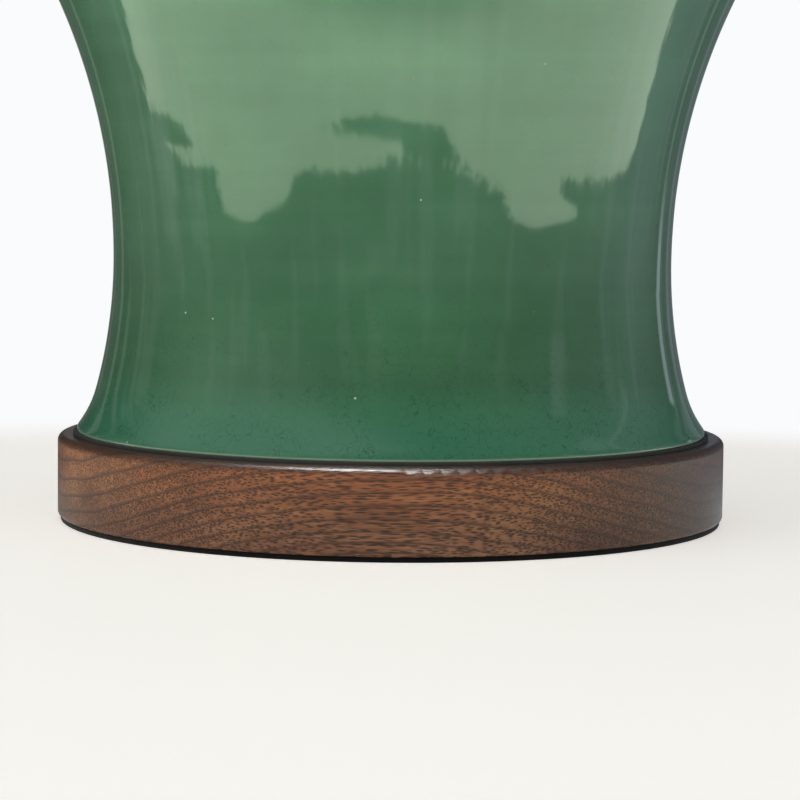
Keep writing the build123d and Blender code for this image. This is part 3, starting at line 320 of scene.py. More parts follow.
def floorMaterial():
    # painted floor under soft light. A pool of window light with shadows in it, and the room's reflection beyond
    # it, are what the glaze mirrors; camera rays see the plain floor
    material, tree, place = newMaterial("matt painted studio floor")
    centre = (studio["fadeCentre"][0], studio["fadeCentre"][1], 0)
    reach = add(tree, "VectorMath", {0: place, 1: centre}, operation="DISTANCE").outputs["Value"]
    fade = add(tree, "MapRange", {0: reach, 1: studio["fade"][0], 2: studio["fade"][1]},
               interpolation_type="SMOOTHSTEP")
    rays = add(tree, "LightPath").outputs
    direct = add(tree, "Math", {0: rays["Is Camera Ray"], 1: rays["Is Transmission Ray"]}, operation="MAXIMUM")
    seen = add(tree, "Math", {0: direct, 1: fade}, operation="MULTIPLY")
    azimuth, parts = whereabouts(tree, place)
    distance = add(tree, "VectorMath", {0: place}, operation="LENGTH").outputs["Value"]
    ragged = add(tree, "TexNoise", {"Vector": place, "Scale": 48.0, "Detail": 6.0, "Roughness": 0.7})
    centred = add(tree, "Math", {0: ragged, 1: 0.5}, operation="SUBTRACT")
    outwards, around = studio["wander"]
    strayed = add(tree, "Math", {0: centred, 1: around, 2: azimuth}, operation="MULTIPLY_ADD")
    along = add(tree, "MapRange", {0: strayed, 1: -120.0, 2: 120.0})
    curve = add(tree, "FloatCurve", {1: along})
    first, *between, last = [((angle + 120) / 240, far) for angle, far in studio["poolEdge"]]
    points = curve.mapping.curves[0].points
    points[0].location = first
    points[-1].location = last
    for at in between:
        points.new(*at)
    for point in points:
        point.handle_type = "VECTOR"
    curve.mapping.update()
    edge = add(tree, "Math", {0: centred, 1: outwards, 2: curve}, operation="MULTIPLY_ADD")
    inside = add(tree, "Math", {0: edge, 1: distance}, operation="SUBTRACT")
    pool = add(tree, "MapRange", {0: inside, 1: -0.006, 2: 0.006})
    for (x, y), (length, width), angle in studio["shadows"]:
        # a long shadow: an ellipse, turned and warped by the same noise
        local = add(tree, "Mapping", {0: place, 1: (x, y, 0), 2: (0, 0, math.radians(angle)),
                                      3: (length, width, 1)}, vector_type="TEXTURE")
        size = add(tree, "VectorMath", {0: local}, operation="LENGTH").outputs["Value"]
        rough = add(tree, "Math", {0: centred, 1: 1.6, 2: size}, operation="MULTIPLY_ADD")
        clear = add(tree, "MapRange", {0: rough, 1: 0.92, 2: 1.06})
        pool = add(tree, "Math", {0: pool, 1: clear}, operation="MULTIPLY")
    (nearPlace, nearLevel), (farPlace, farLevel) = studio["poolNear"], studio["poolFar"]
    level = add(tree, "MapRange", {0: distance, 1: nearPlace, 2: farPlace, 3: nearLevel, 4: farLevel},
                interpolation_type="SMOOTHSTEP")
    shine = add(tree, "Math", {0: pool, 1: level}, operation="MULTIPLY")
    sunlit = add(tree, "Emission", {"Color": studio["poolColour"], "Strength": shine})
    rise = add(tree, "Math", {0: -studio["skyHeight"], 1: distance}, operation="DIVIDE")
    roomLevel, roomColour = roomAt(tree, azimuth, rise)
    beyond = add(tree, "Emission", {"Color": roomColour, "Strength": roomLevel})
    mirrored = add(tree, "AddShader", {0: sunlit, 1: beyond})
    start, stop, least = studio["ownSides"]
    lean = add(tree, "MapRange", {0: parts.outputs["X"], 1: start, 2: stop, 3: 1.0, 4: least})
    lean = add(tree, "Math", {0: lean, 1: direct}, operation="MAXIMUM")
    own = add(tree, "Math", {0: lean, 1: studio["ownLight"]}, operation="MULTIPLY")
    matt = add(tree, "BsdfPrincipled", {
        "Base Color": studio["floorColour"], "Roughness": 0.6,
        "Emission Color": studio["floorColour"], "Emission Strength": own,
    })
    lit = add(tree, "MixShader", {0: rays["Is Glossy Ray"], 1: matt, 2: mirrored})
    white = add(tree, "Emission", {"Color": room["white"], "Strength": 1.0})
    mixed = add(tree, "MixShader", {0: seen, 1: lit, 2: white})
    add(tree, "OutputMaterial", {"Surface": mixed})
    return material


half = studio["floorHalf"]
floorMesh = bpy.data.meshes.new("floor")
floorMesh.from_pydata([(-half, -half, 0), (half, -half, 0), (half, half, 0), (-half, half, 0)], [], [(0, 1, 2, 3)])
floor = bpy.data.objects.new("floor", floorMesh)
bpy.context.scene.collection.objects.link(floor)
paint(floorMaterial(), floor)

# ---- world: the room, with a narrow white backdrop behind the lamp and a soft glow high on the left
world = bpy.data.worlds.new("soft studio")
bpy.context.scene.world = world
world.use_nodes = True
tree = world.node_tree
tree.nodes.clear()
direction = add(tree, "TexCoord").outputs["Generated"]
azimuth, parts = whereabouts(tree, direction)
level, colour = roomAt(tree, azimuth, parts.outputs["Z"])
backdrop = add(tree, "MapRange", {0: parts.outputs["Y"], 1: room["backdrop"][0], 2: room["backdrop"][1]},
               interpolation_type="SMOOTHSTEP")
turn, lift = (math.radians(angle) for angle in room["glowFrom"])
toGlow = (math.sin(turn) * math.cos(lift), -math.cos(turn) * math.cos(lift), math.sin(lift))
facing = add(tree, "VectorMath", {0: direction, 1: toGlow}, operation="DOT_PRODUCT").outputs["Value"]
glow = add(tree, "MapRange", {0: facing, 1: room["glowWidth"][0], 2: room["glowWidth"][1], 4: room["glow"]},
           interpolation_type="SMOOTHSTEP")
for part in (backdrop, glow):
    level = add(tree, "Math", {0: level, 1: part}, operation="ADD")
leftLevel, rightLevel = room["matt"]
matt = add(tree, "MapRange", {0: parts.outputs["X"], 1: -1.0, 2: 1.0, 3: leftLevel, 4: rightLevel})
mirrored = add(tree, "Background", {"Color": colour, "Strength": level})
softRoom = add(tree, "Background", {"Color": room["colour"], "Strength": matt})
plain = add(tree, "Background", {"Color": room["white"], "Strength": 1.0})
rays = add(tree, "LightPath").outputs
direct = add(tree, "Math", {0: rays["Is Camera Ray"], 1: rays["Is Transmission Ray"]}, operation="MAXIMUM")
indirect = add(tree, "MixShader", {0: rays["Is Glossy Ray"], 1: softRoom, 2: mirrored})
mixed = add(tree, "MixShader", {0: direct, 1: indirect, 2: plain})
add(tree, "OutputWorld", {"Surface": mixed})

# ---- lights: three strips high in front that only gloss on the wood's edge catches, four large soft boxes that
# mirrors don't show, and the light that the pool on the floor throws up
lights = (  # name, azimuth and elevation in degrees, distance, width, height, watts, how it's used
    ("stripLeft", -46, 66, 1.40, 0.36, 0.20, 10.0, "gloss"),
    ("stripMiddle", -13, 66, 1.40, 0.36, 0.20, 26.0, "gloss"),
    ("stripRight", 20, 66, 1.40, 0.36, 0.20, 10.0, "gloss"),
    ("boxTop", -38, 52, 1.60, 1.20, 0.80, 1.2, "soft"),
    ("boxLeft", -54, 28, 1.60, 1.10, 1.10, 1.6, "soft"),
    ("boxRight", 48, 35, 1.60, 1.00, 1.00, 0.35, "soft"),
    ("boxBack", 172, 22, 1.90, 1.20, 0.60, 0.6, "soft"),
)
poolLight = {"place": (0.0, -0.50, 2 * mm), "size": (1.20, 0.42), "watts": 5.6}
lightAim = Vector((0, 0, 0.03))


def areaLight(name, matrix, width, tall, watts):
    lamp = bpy.data.lights.new(name, "AREA")
    lamp.shape = "RECTANGLE"
    lamp.size = width
    lamp.size_y = tall
    lamp.energy = watts
    lampObject = bpy.data.objects.new(name, lamp)
    lampObject.matrix_world = matrix
    bpy.context.scene.collection.objects.link(lampObject)
    return lampObject


for name, side, lift, distance, width, tall, watts, use in lights:
    a = math.radians(side)
    e = math.radians(lift)
    spot = lightAim + Vector((math.sin(a) * math.cos(e), -math.cos(a) * math.cos(e), math.sin(e))) * distance
    turned = (lightAim - spot).to_track_quat("-Z", "Y").to_matrix().to_4x4()
    lampObject = areaLight(name, Matrix.Translation(spot) @ turned, width, tall, watts)
    lampObject.visible_glossy = use == "gloss"
    lampObject.visible_diffuse = use == "soft"
upwards = Matrix.Translation(poolLight["place"]) @ Matrix.Rotation(math.pi, 4, "X")
bounce = areaLight("poolLight", upwards, *poolLight["size"], poolLight["watts"])
bounce.visible_glossy = False
bounce.visible_camera = False
bounce.visible_transmission = False
print("camera, floor, world and lights are in place")

# ---- jar: stoneware thrown on a wheel, under a deep green glaze that crackled as it cooled
jar = {
    "footRadius": 95.8 * mm,
    "footEdge": 0.4 * mm,
    "footLand": 0.3 * mm,
    "footRing": 9.0 * mm,
    "recess": 4.0 * mm,
    "floorTop": 12.0 * mm,
    "wall": 6.0 * mm,
    "rimRound": 2.0 * mm,
    "holeRadius": 8.0 * mm,
    "arcs": (  # radius in mm and turn in degrees, from the foot's lip up
        (2.0, 36.9), (32.5, -21.6), (150, -15.3), (186, -32), (165, 32), (120, 30), (80, 50), (18, -80),
    ),
    "columns": 300,
    "step": 2.2 * mm,
    "outOfRound": 0.10 * mm,
    "ripple": 0.004 * mm,
    "rippleLength": 6.5 * mm,
}


def glazeMaterial():
    # kiln-fired gloss glaze: mottled green, bluer and paler where it pooled above the foot, a web of dark
    # crackle 3 to 6 mm across, a few pale pin holes and brown specks, a thin pale line painted just above the foot's
    # edge as a highlight, bare clay below
    material, tree, place = newMaterial("crackle-glazed stoneware")
    cloud = add(tree, "TexNoise", {"Vector": place, "Scale": 24.0, "Detail": 4.0, "Roughness": 0.6})
    bands = add(tree, "Mapping", {0: place, 3: (5.0, 5.0, 90.0)})
    throwing = add(tree, "TexNoise", {"Vector": bands, "Scale": 1.0, "Detail": 3.0})
    tone = add(tree, "Mix", {0: 0.4, 2: cloud, 3: throwing})
    green = add(tree, "ValToRGB", {0: tone}, stops=[(0.32, "#325C3E"), (0.5, "#3A6647"), (0.68, "#43714F")])
    height = add(tree, "SeparateXYZ", {0: place}).outputs["Z"]
    pool = add(tree, "MapRange", {0: height, 1: 0.027, 2: 0.052, 3: 0.85, 4: 0.0}, interpolation_type="SMOOTHSTEP")
    body = add(tree, "Mix", {0: pool, 6: green, 7: "#3E8262"}, data_type="RGBA")
    # the crackle: edges of noise-bent cells, stronger in some patches and near the foot
    bend = add(tree, "TexNoise", {"Vector": place, "Scale": 210.0, "Detail": 2.0})
    bent = add(tree, "Mix", {0: 0.010, 4: place, 5: bend.outputs["Color"]}, data_type="VECTOR")
    cells = add(tree, "TexVoronoi", {"Vector": bent.outputs[1], "Scale": 300.0}, feature="DISTANCE_TO_EDGE")
    line = add(tree, "MapRange", {0: cells, 1: 0.006, 2: 0.030, 3: 1.0, 4: 0.0})
    patches = add(tree, "TexNoise", {"Vector": place, "Scale": 75.0, "Detail": 2.0})
    patch = add(tree, "MapRange", {0: patches, 1: 0.38, 2: 0.62, 3: 0.25, 4: 0.9})
    lower = add(tree, "MapRange", {0: height, 1: 0.028, 2: 0.070, 3: 0.85, 4: 0.18})
    crackle = add(tree, "Math", {0: line, 1: patch}, operation="MULTIPLY")
    crackle = add(tree, "Math", {0: crackle, 1: lower}, operation="MULTIPLY")
    lined = add(tree, "Mix", {0: crackle, 6: body.outputs[2], 7: "#184631"}, data_type="RGBA")
    # pin holes and specks: the cores of a few scattered cells, picked by the cell's random colour
    dots = add(tree, "TexVoronoi", {"Vector": place, "Scale": 120.0})
    pick = add(tree, "SeparateColor", {0: dots.outputs["Color"]})
    core = add(tree, "MapRange", {0: dots, 1: 0.025, 2: 0.045, 3: 1.0, 4: 0.0})
    fewPale = add(tree, "Math", {0: pick.outputs["Red"], 1: 0.80}, operation="GREATER_THAN")
    pale = add(tree, "Math", {0: core, 1: fewPale}, operation="MULTIPLY")
    holed = add(tree, "Mix", {0: pale, 6: lined.outputs[2], 7: "#B9CDB6"}, data_type="RGBA")
    fewBrown = add(tree, "Math", {0: pick.outputs["Green"], 1: 0.93}, operation="GREATER_THAN")
    brown = add(tree, "Math", {0: core, 1: fewBrown}, operation="MULTIPLY")
    specked = add(tree, "Mix", {0: brown, 6: holed.outputs[2], 7: "#6E6A3C"}, data_type="RGBA")
    # a painted highlight: a thin pale line just above the foot's edge, where the lip catches the light
    edge = add(tree, "MapRange", {0: height, 1: 0.0272, 2: 0.0279, 3: 0.7, 4: 0.0})
    edgeHighlighted = add(tree, "Mix", {0: edge, 6: specked.outputs[2], 7: "#8FA78A"}, data_type="RGBA")
    bare = add(tree, "MapRange", {0: height, 1: 0.02685, 2: 0.02695, 3: 1.0, 4: 0.0})
    coloured = add(tree, "Mix", {0: bare, 6: edgeHighlighted.outputs[2], 7: "#A58E72"}, data_type="RGBA")
    gloss = add(tree, "MapRange", {0: bare, 3: 0.055, 4: 0.85})
    relief = add(tree, "Math", {0: crackle, 1: -0.6, 2: cloud}, operation="MULTIPLY_ADD")
    bump = add(tree, "Bump", {"Height": relief, "Strength": 0.04, "Distance": 0.0001})
    finishWith(tree, {"Base Color": coloured.outputs[2], "Roughness": gloss, "IOR": 1.6, "Normal": bump})
    return material


def buildJar():
    # the CAD's chain of tangent arcs from the foot to the rim, the inside parallel to it, a flat floor with its
    # hole and the recess under it
    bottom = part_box("jar")[0].z
    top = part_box("jar")[1].z
    edge, wall, rimRound = jar["footEdge"], jar["wall"], jar["rimRound"]
    quarter = np.linspace(0, math.pi / 2, 7)
    footEdge = np.stack([jar["footRadius"] - edge + edge * np.sin(quarter), bottom + edge - edge * np.cos(quarter)], -1)
    lipStart = (jar["footRadius"], bottom + edge + jar["footLand"])
    arcs = [(radius * mm, turn) for radius, turn in jar["arcs"]]
    side = arcChain(lipStart, 0.0, arcs, jar["step"])
    # inside, arcs that bulge outwards are smaller by the wall and the others larger
    lipStartInside = (jar["footRadius"] - wall, lipStart[1])
    arcsInside = [(max(radius - wall, 0.01 * mm) if turn > 0 else radius + wall, turn) for radius, turn in arcs]
    inside = arcChain(lipStartInside, 0.0, arcsInside, 3 * jar["step"])
    inside = inside[inside[:, 1] > bottom + jar["floorTop"] + mm][::-1]
    outer = side[-1, 0] - rimRound
    inner = side[-1, 0] - wall + rimRound
    rimOut = np.stack([outer + rimRound * np.cos(quarter), top - rimRound + rimRound * np.sin(quarter)], -1)
    rimIn = np.stack([inner - rimRound * np.sin(quarter), top - rimRound + rimRound * np.cos(quarter)], -1)
    hole, ring = jar["holeRadius"], jar["footRadius"] - jar["footRing"]
    under = np.array([(inside[-1, 0], bottom + jar["floorTop"]), (hole, bottom + jar["floorTop"]),
                      (hole, bottom + jar["recess"]), (ring, bottom + jar["recess"]), (ring, bottom)])
    profile = np.concatenate([footEdge, side, rimOut, rimIn, inside, under])
    outside = np.arange(len(profile))[:, None] < len(footEdge) + len(side)

    def unevenness(r, z, a):
        # two and three slow lobes round a thrown wall, drifting with height, and fine throwing rings; both fade
        # in above the foot and out below the neck
        live = np.clip((z - bottom - 3 * mm) / (30 * mm), 0, 1) * np.clip((top - 12 * mm - z) / (60 * mm), 0, 1)
        lobes = np.sin(2 * a + 0.7 + 9 * z) + 0.5 * np.sin(3 * a - 1.1 - 14 * z)
        rings = np.sin(2 * math.pi * z / jar["rippleLength"] + 0.9 * np.sin(a + 3) + 4 * np.sin(23 * z))
        return r + live * outside * (jar["outOfRound"] * lobes + jar["ripple"] * rings), z

    angles = anglesWith(jar["columns"])
    points = latheGrid(profile, angles, unevenness)
    quads = latheQuads(len(profile), len(angles))
    return meshPiece("jar_body", points, quads, glazeMaterial(), "root", ["jar"])


buildJar()
print("jar glazed")

# ---- walnut: the base is one flat-sawn board with its grain along X, varnished to a satin finish
walnut = {
    "pith": (0.004, 0.158),  # y and z of the tree's centre line above the base
    "ringScale": 0.0872,  # metres; the ring count is (distance / ringScale) ** ringPower
    "ringPower": 4.0,
    "ringDip": 21.0,  # distance added per cubed metre from the pith line, so that the rings dip at the front
    "pore": 0.50 * mm,  # between pores
    "poreLength": 9.0,  # times as long as they are apart
}


def walnutMaterial(name, pithY, pithZ):
    # dark rings about a pith line along X, closer together further out, their distance z + k |y|^3; long open pores, thick beside each ring
    # and thinning out from it; red-brown clouds that turn greyer low down; satin varnish over open grain
    material, tree, place = newMaterial(name)
    drift = add(tree, "Mapping", {0: place, 3: (7.0, 26.0, 26.0)})
    warp = add(tree, "TexNoise", {"Vector": drift, "Scale": 1.0, "Detail": 2.0})
    moved = add(tree, "Mix", {0: 0.006, 4: place, 5: warp.outputs["Color"]}, data_type="VECTOR").outputs[1]
    parts = add(tree, "SeparateXYZ", {0: moved}).outputs
    across = add(tree, "Math", {0: parts["Y"], 1: pithY}, operation="SUBTRACT")
    across = add(tree, "Math", {0: across}, operation="ABSOLUTE")
    cubed = add(tree, "Math", {0: across, 1: 3.0}, operation="POWER")
    below = add(tree, "Math", {0: pithZ, 1: parts["Z"]}, operation="SUBTRACT")
    fromPith = add(tree, "Math", {0: cubed, 1: walnut["ringDip"], 2: below}, operation="MULTIPLY_ADD")
    scaled = add(tree, "Math", {0: fromPith, 1: walnut["ringScale"]}, operation="DIVIDE")
    count = add(tree, "Math", {0: scaled, 1: walnut["ringPower"]}, operation="POWER")
    phase = add(tree, "Math", {0: count}, operation="FRACT")
    lateWood = add(tree, "MapRange", {0: phase, 1: 0.66, 2: 0.97, 4: 0.70}, interpolation_type="SMOOTHSTEP")
    lineEnd = add(tree, "MapRange", {0: phase, 1: 0.97, 2: 1.0, 3: 1.0, 4: 0.0})
    ringLine = add(tree, "Math", {0: lateWood, 1: lineEnd}, operation="MULTIPLY")
    fibres = add(tree, "Mapping", {0: place, 3: (30.0, 1100.0, 1100.0)})
    fibre = add(tree, "TexNoise", {"Vector": fibres, "Scale": 1.0, "Detail": 3.0, "Roughness": 0.7})
    cloudy = add(tree, "Mapping", {0: place, 3: (14.0, 40.0, 60.0)})
    cloud = add(tree, "TexNoise", {"Vector": cloudy, "Scale": 1.0, "Detail": 3.0})
    tone = add(tree, "Mix", {0: 0.45, 2: cloud, 3: fibre})
    warm = add(tree, "ValToRGB", {0: tone}, stops=[(0.32, "#743A18"), (0.5, "#9C5A30"), (0.66, "#C07F4B")])
    grey = add(tree, "ValToRGB", {0: tone}, stops=[(0.32, "#623A25"), (0.5, "#875639"), (0.66, "#AC7A56")])
    height = add(tree, "SeparateXYZ", {0: place}).outputs["Z"]
    lifted = add(tree, "Math", {0: cloud, 1: 12 * mm, 2: height}, operation="MULTIPLY_ADD")
    redness = add(tree, "MapRange", {0: lifted, 1: 14 * mm, 2: 28 * mm})
    wood = add(tree, "Mix", {0: redness, 6: grey, 7: warm}, data_type="RGBA")
    ringed = add(tree, "Mix", {0: ringLine, 6: wood.outputs[2], 7: "#341E15"}, data_type="RGBA")
    # painted shade: darker towards the right end, the side the light falls off, and darker on the top and its edge,
    # which get less light from above
    # painted shade towards the right end of the board
    rightShade = add(tree, "MapRange", {0: parts["X"], 1: 10 * mm, 2: 80 * mm, 4: 0.62})
    rightShaded = add(tree, "Mix", {0: rightShade, 6: ringed.outputs[2], 7: "#3D2A24"}, data_type="RGBA")
    # painted shade on the top face and its rounded edge
    topShade = add(tree, "MapRange", {0: height, 1: 23.2 * mm, 2: 25.0 * mm, 4: 0.68})
    topShaded = add(tree, "Mix", {0: topShade, 6: rightShaded.outputs[2], 7: "#2E170D"}, data_type="RGBA")
    # pores: thin cores of cells stretched along the grain, wider beside the ring's start
    thin = 1 / walnut["pore"]
    vessels = add(tree, "Mapping", {0: moved, 3: (thin / walnut["poreLength"], thin, thin)})
    cell = add(tree, "TexVoronoi", {"Vector": vessels, "Scale": 1.0})
    width = add(tree, "MapRange", {0: phase, 1: 0.0, 2: 0.9, 3: 0.60, 4: 0.42})
    ratio = add(tree, "Math", {0: cell, 1: width}, operation="DIVIDE")
    pore = add(tree, "MapRange", {0: ratio, 1: 0.55, 2: 1.1, 3: 0.85, 4: 0.0})
    pored = add(tree, "Mix", {0: pore, 6: topShaded.outputs[2], 7: "#2B1812"}, data_type="RGBA")
    relief = add(tree, "Math", {0: pore, 1: -1.0, 2: fibre}, operation="MULTIPLY_ADD")
    bump = add(tree, "Bump", {"Height": relief, "Strength": 0.25, "Distance": 0.00012})
    finishWith(tree, {"Base Color": pored.outputs[2], "Roughness": 0.37, "IOR": 1.5, "Normal": bump})
    return material


paint(walnutMaterial("satin-varnished walnut board", *walnut["pith"]), "walnut_base")
paint(walnutMaterial("turned walnut knob", -0.10, 0.72), "finial_knob")
print("walnut finished")


# ---- metals
def metalMaterial(name, colours, cloudSize, lineSize, roughness, spots):
    # a ramp of three colours over clouds of tarnish or plating, small dark spots, and fine lines round the
    # lamp's axis, as a lathe and its polishing cloth leave them; roughness goes from clear to clouded places
    material, tree, place = newMaterial(name)
    cloud = add(tree, "TexNoise", {"Vector": place, "Scale": 1 / cloudSize, "Detail": 4.0, "Roughness": 0.62})
    dark, middle, light = colours
    tarnish = add(tree, "ValToRGB", {0: cloud}, stops=[(0.34, dark), (0.50, middle), (0.64, light)])
    grain = add(tree, "TexNoise", {"Vector": place, "Scale": 1 / (1.3 * mm), "Detail": 2.0})
    spot = add(tree, "MapRange", {0: grain, 1: 0.60, 2: 0.72, 4: spots})
    spotted = add(tree, "Mix", {0: spot, 6: tarnish, 7: dark}, data_type="RGBA")
    parts = add(tree, "SeparateXYZ", {0: place}).outputs
    flat = add(tree, "CombineXYZ", {0: parts["X"], 1: parts["Y"]})
    radius = add(tree, "VectorMath", {0: flat}, operation="LENGTH").outputs["Value"]
    turned = add(tree, "CombineXYZ", {0: radius, 1: parts["Z"]})
    lines = add(tree, "TexNoise", {"Vector": turned, "Scale": 1 / lineSize, "Detail": 2.0})
    wear = add(tree, "MapRange", {0: cloud, 1: 0.35, 2: 0.65, 3: roughness[1], 4: roughness[0]})
    bump = add(tree, "Bump", {"Height": lines, "Strength": 0.12, "Distance": 0.00004})
    finishWith(tree, {"Base Color": spotted.outputs[2], "Metallic": 1.0, "Roughness": wear, "Normal": bump})
    return material


# ---- moulded and pressed pieces
def mouldedMaterial(name, dark, light, grainSize, roughness, depth, ior=1.5):
    # two near tones over a fine grain and a slower cloud, with the grain's relief; roughness goes with the cloud
    material, tree, place = newMaterial(name)
    grain = add(tree, "TexNoise", {"Vector": place, "Scale": 1 / grainSize, "Detail": 3.0, "Roughness": 0.6})
    cloud = add(tree, "TexNoise", {"Vector": place, "Scale": 90.0, "Detail": 2.0})
    tone = add(tree, "Mix", {0: 0.5, 2: grain, 3: cloud})
    colour = add(tree, "ValToRGB", {0: tone}, stops=[(0.38, dark), (0.62, light)])
    wear = add(tree, "MapRange", {0: cloud, 1: 0.35, 2: 0.65, 3: roughness[0], 4: roughness[1]})
    bump = add(tree, "Bump", {"Height": grain, "Strength": 0.3, "Distance": depth})
    finishWith(tree, {"Base Color": colour, "Roughness": wear, "IOR": ior, "Normal": bump})
    return material


def bulbGlassMaterial():
    # clear blown soda-lime glass: seen through, with faint waves from blowing
    material, tree, place = newMaterial("clear blown glass")
    drawn = add(tree, "Mapping", {0: place, 3: (120.0, 120.0, 40.0)})
    waves = add(tree, "TexNoise", {"Vector": drawn, "Scale": 1.0, "Detail": 1.0})
    tint = add(tree, "ValToRGB", {0: waves}, stops=[(0.3, "#F6FAF8"), (0.7, "#FDFEFD")])
    bump = add(tree, "Bump", {"Height": waves, "Strength": 0.05, "Distance": 0.0003})
    finishWith(tree, {"Base Color": tint, "Roughness": 0.02, "IOR": 1.51, "Transmission Weight": 1.0, "Normal": bump})
    return material


finishes = {
    # warm brass that has dulled to brown in clouds
    "aged_brass": metalMaterial("satin aged brass", ("#705832", "#9E8454", "#B99F6C"), 14 * mm, 0.30 * mm,
                                (0.26, 0.44), 0.45),
    # spun brass under clear lacquer: brighter and more even
    "socket_brass": metalMaterial("spun lacquered brass", ("#A88D5B", "#BCA26F", "#CBB380"), 18 * mm, 0.22 * mm,
                                  (0.18, 0.28), 0.12),
    # bare stamped brass, yellow, with handling stains
    "contact_brass": metalMaterial("bare stamped brass", ("#B0935A", "#CEB37C", "#DAC18C"), 6 * mm, 0.40 * mm,
                                   (0.22, 0.36), 0.25),
    # zinc plating: cool grey with dull bluish clouds
    "zinc_steel": metalMaterial("zinc-plated steel", ("#989CA1", "#BFC1C4", "#CDCFCF"), 4 * mm, 0.35 * mm,
                                (0.30, 0.48), 0.20),
    # rolled nickel-plated sheet, nearly white
    "bulb_cap_metal": metalMaterial("nickel-plated rolled sheet", ("#BBBBBC", "#D9D9DA", "#E2E2E1"), 9 * mm,
                                    0.25 * mm, (0.16, 0.30), 0.15),
    # nitrile rubber from a mould: matt black with a slight bloom
    "gasket_rubber": mouldedMaterial("moulded nitrile rubber", "#100F0D", "#1E1B17", 0.5 * mm, (0.55, 0.80), 0.00006),
    # black nylon with a fine spark-eroded texture
    "bushing_nylon": mouldedMaterial("moulded black nylon", "#0B0A09", "#1A1715", 0.35 * mm, (0.38, 0.52), 0.00005),
    # grey-brown vulcanised fibre sheet, fuzzy at its cut edges
    "fibre_liner": mouldedMaterial("vulcanised fibre sheet", "#544634", "#7A6A50", 0.7 * mm, (0.75, 0.90), 0.00008),
    # brown-black phenolic with wood-flour specks
    "phenolic": mouldedMaterial("moulded phenolic", "#130F0D", "#241B16", 0.45 * mm, (0.36, 0.50), 0.00003),
    # the same, polished
    "knob_phenolic": mouldedMaterial("polished phenolic", "#0B0908", "#1A1310", 0.9 * mm, (0.14, 0.24), 0.00001),
    # calendered styrene sheet: warm white with a faint haze
    "shade_backing": mouldedMaterial("calendered white styrene", "#EAE3D6", "#F3EEE3", 2.5 * mm, (0.38, 0.52), 0.00003),
    # fused black glass in the bulb's cap
    "bulb_insulator_glass": mouldedMaterial("black vitrite glass", "#08080A", "#15151A", 1.2 * mm, (0.08, 0.18),
                                            0.00002, 1.55),
    # yellow silicone with phosphor over a row of chips
    "led_filament": mouldedMaterial("phosphor-coated filament", "#DDAE35", "#F2CB5C", 0.6 * mm, (0.50, 0.65), 0.00006),
    "bulb_glass": bulbGlassMaterial(),
}
for part in frame["record"]["subparts"]:
    if part["material_slot"] in finishes:
        paint(finishes[part["material_slot"]], part["node"])
print("metals, moulded pieces and glass finished")

# ---- felt: a die-cut disc of pressed wool under the base
felt = {
    "edgeRound": 0.45 * mm,
    "fuzz": 0.10 * mm,  # unevenness of the cut edge
    "columns": 360,
}


def feltMaterial():
    # pressed black wool: no gloss, short crossed fibres drawn 0.4 mm wide so that they show, a soft sheen
    material, tree, place = newMaterial("pressed wool felt")
    fibre = add(tree, "TexNoise", {"Vector": place, "Scale": 1 / (0.4 * mm), "Detail": 4.0, "Distortion": 1.5})
    matted = add(tree, "TexNoise", {"Vector": place, "Scale": 1 / (5 * mm), "Detail": 3.0})
    tone = add(tree, "Mix", {0: 0.4, 2: fibre, 3: matted})
    black = add(tree, "ValToRGB", {0: tone}, stops=[(0.35, "#050506"), (0.65, "#121213")])
    bump = add(tree, "Bump", {"Height": fibre, "Strength": 0.6, "Distance": 0.0002})
    finishWith(tree, {"Base Color": black, "Roughness": 0.95, "Sheen Weight": 0.15, "Sheen Roughness": 0.5,
                      "Specular IOR Level": 0.2, "Normal": bump})
    return material


def buildFelt():
    # a flat disc from its centre out and back again, with rounded edges
    low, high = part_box("base_felt")
    corners = [(0.5 * high.x, low.z), (high.x, low.z), (high.x, high.z), (0.5 * high.x, high.z)]
    outline = roundCorners(corners, felt["edgeRound"], 5)[5:15]
    profile = np.concatenate([[(0, low.z)], outline, [(0, high.z)]])

    def cutEdge(r, z, a):
        # the cut wanders in and out in short waves, only at the edge
        waves = np.sin(61 * a) + np.sin(97 * a + 1.3) + np.sin(151 * a + 0.4)
        return r - felt["fuzz"] * (waves + 3) / 6 * (r > 0.99 * high.x), z

    angles = anglesWith(felt["columns"])
    pad = meshPiece("felt_pad", latheGrid(profile, angles, cutEdge), latheQuads(len(profile), len(angles))[
        :(len(profile) - 1) * len(angles)], feltMaterial(), "root", ["base_felt"])


buildFelt()

# ---- shade: linen laminated to the styrene, lapped and glued at the back, with linen tape over both edges
shade = {
    "topRadius": 165.1 * mm,  # of the linen's outside
    "thickness": 0.8 * mm,
    "thread": 0.85 * mm,  # between threads, a coarse slubby linen
    "columns": 240,
    "rowStep": 6 * mm,
    "lap": 12 * mm,
    "lapThickness": 0.45 * mm,
    "wave": 0.12 * mm,  # slight unevenness of the sheet
    "tapeInward": 4.873 * mm,  # from the linen's outside in to the tape's inner fold
    "tapeThickness": 0.6 * mm,
    "tapeHeight": 11 * mm,
    "tapeReturn": 5 * mm,
    "tapeRound": 0.28 * mm,
    "tapeWander": 0.20 * mm,
    "layerGap": 0.05 * mm,
    "slotHalf": 1.9 * mm,  # slots in the top tape, where the spider's three arms reach the ring
}


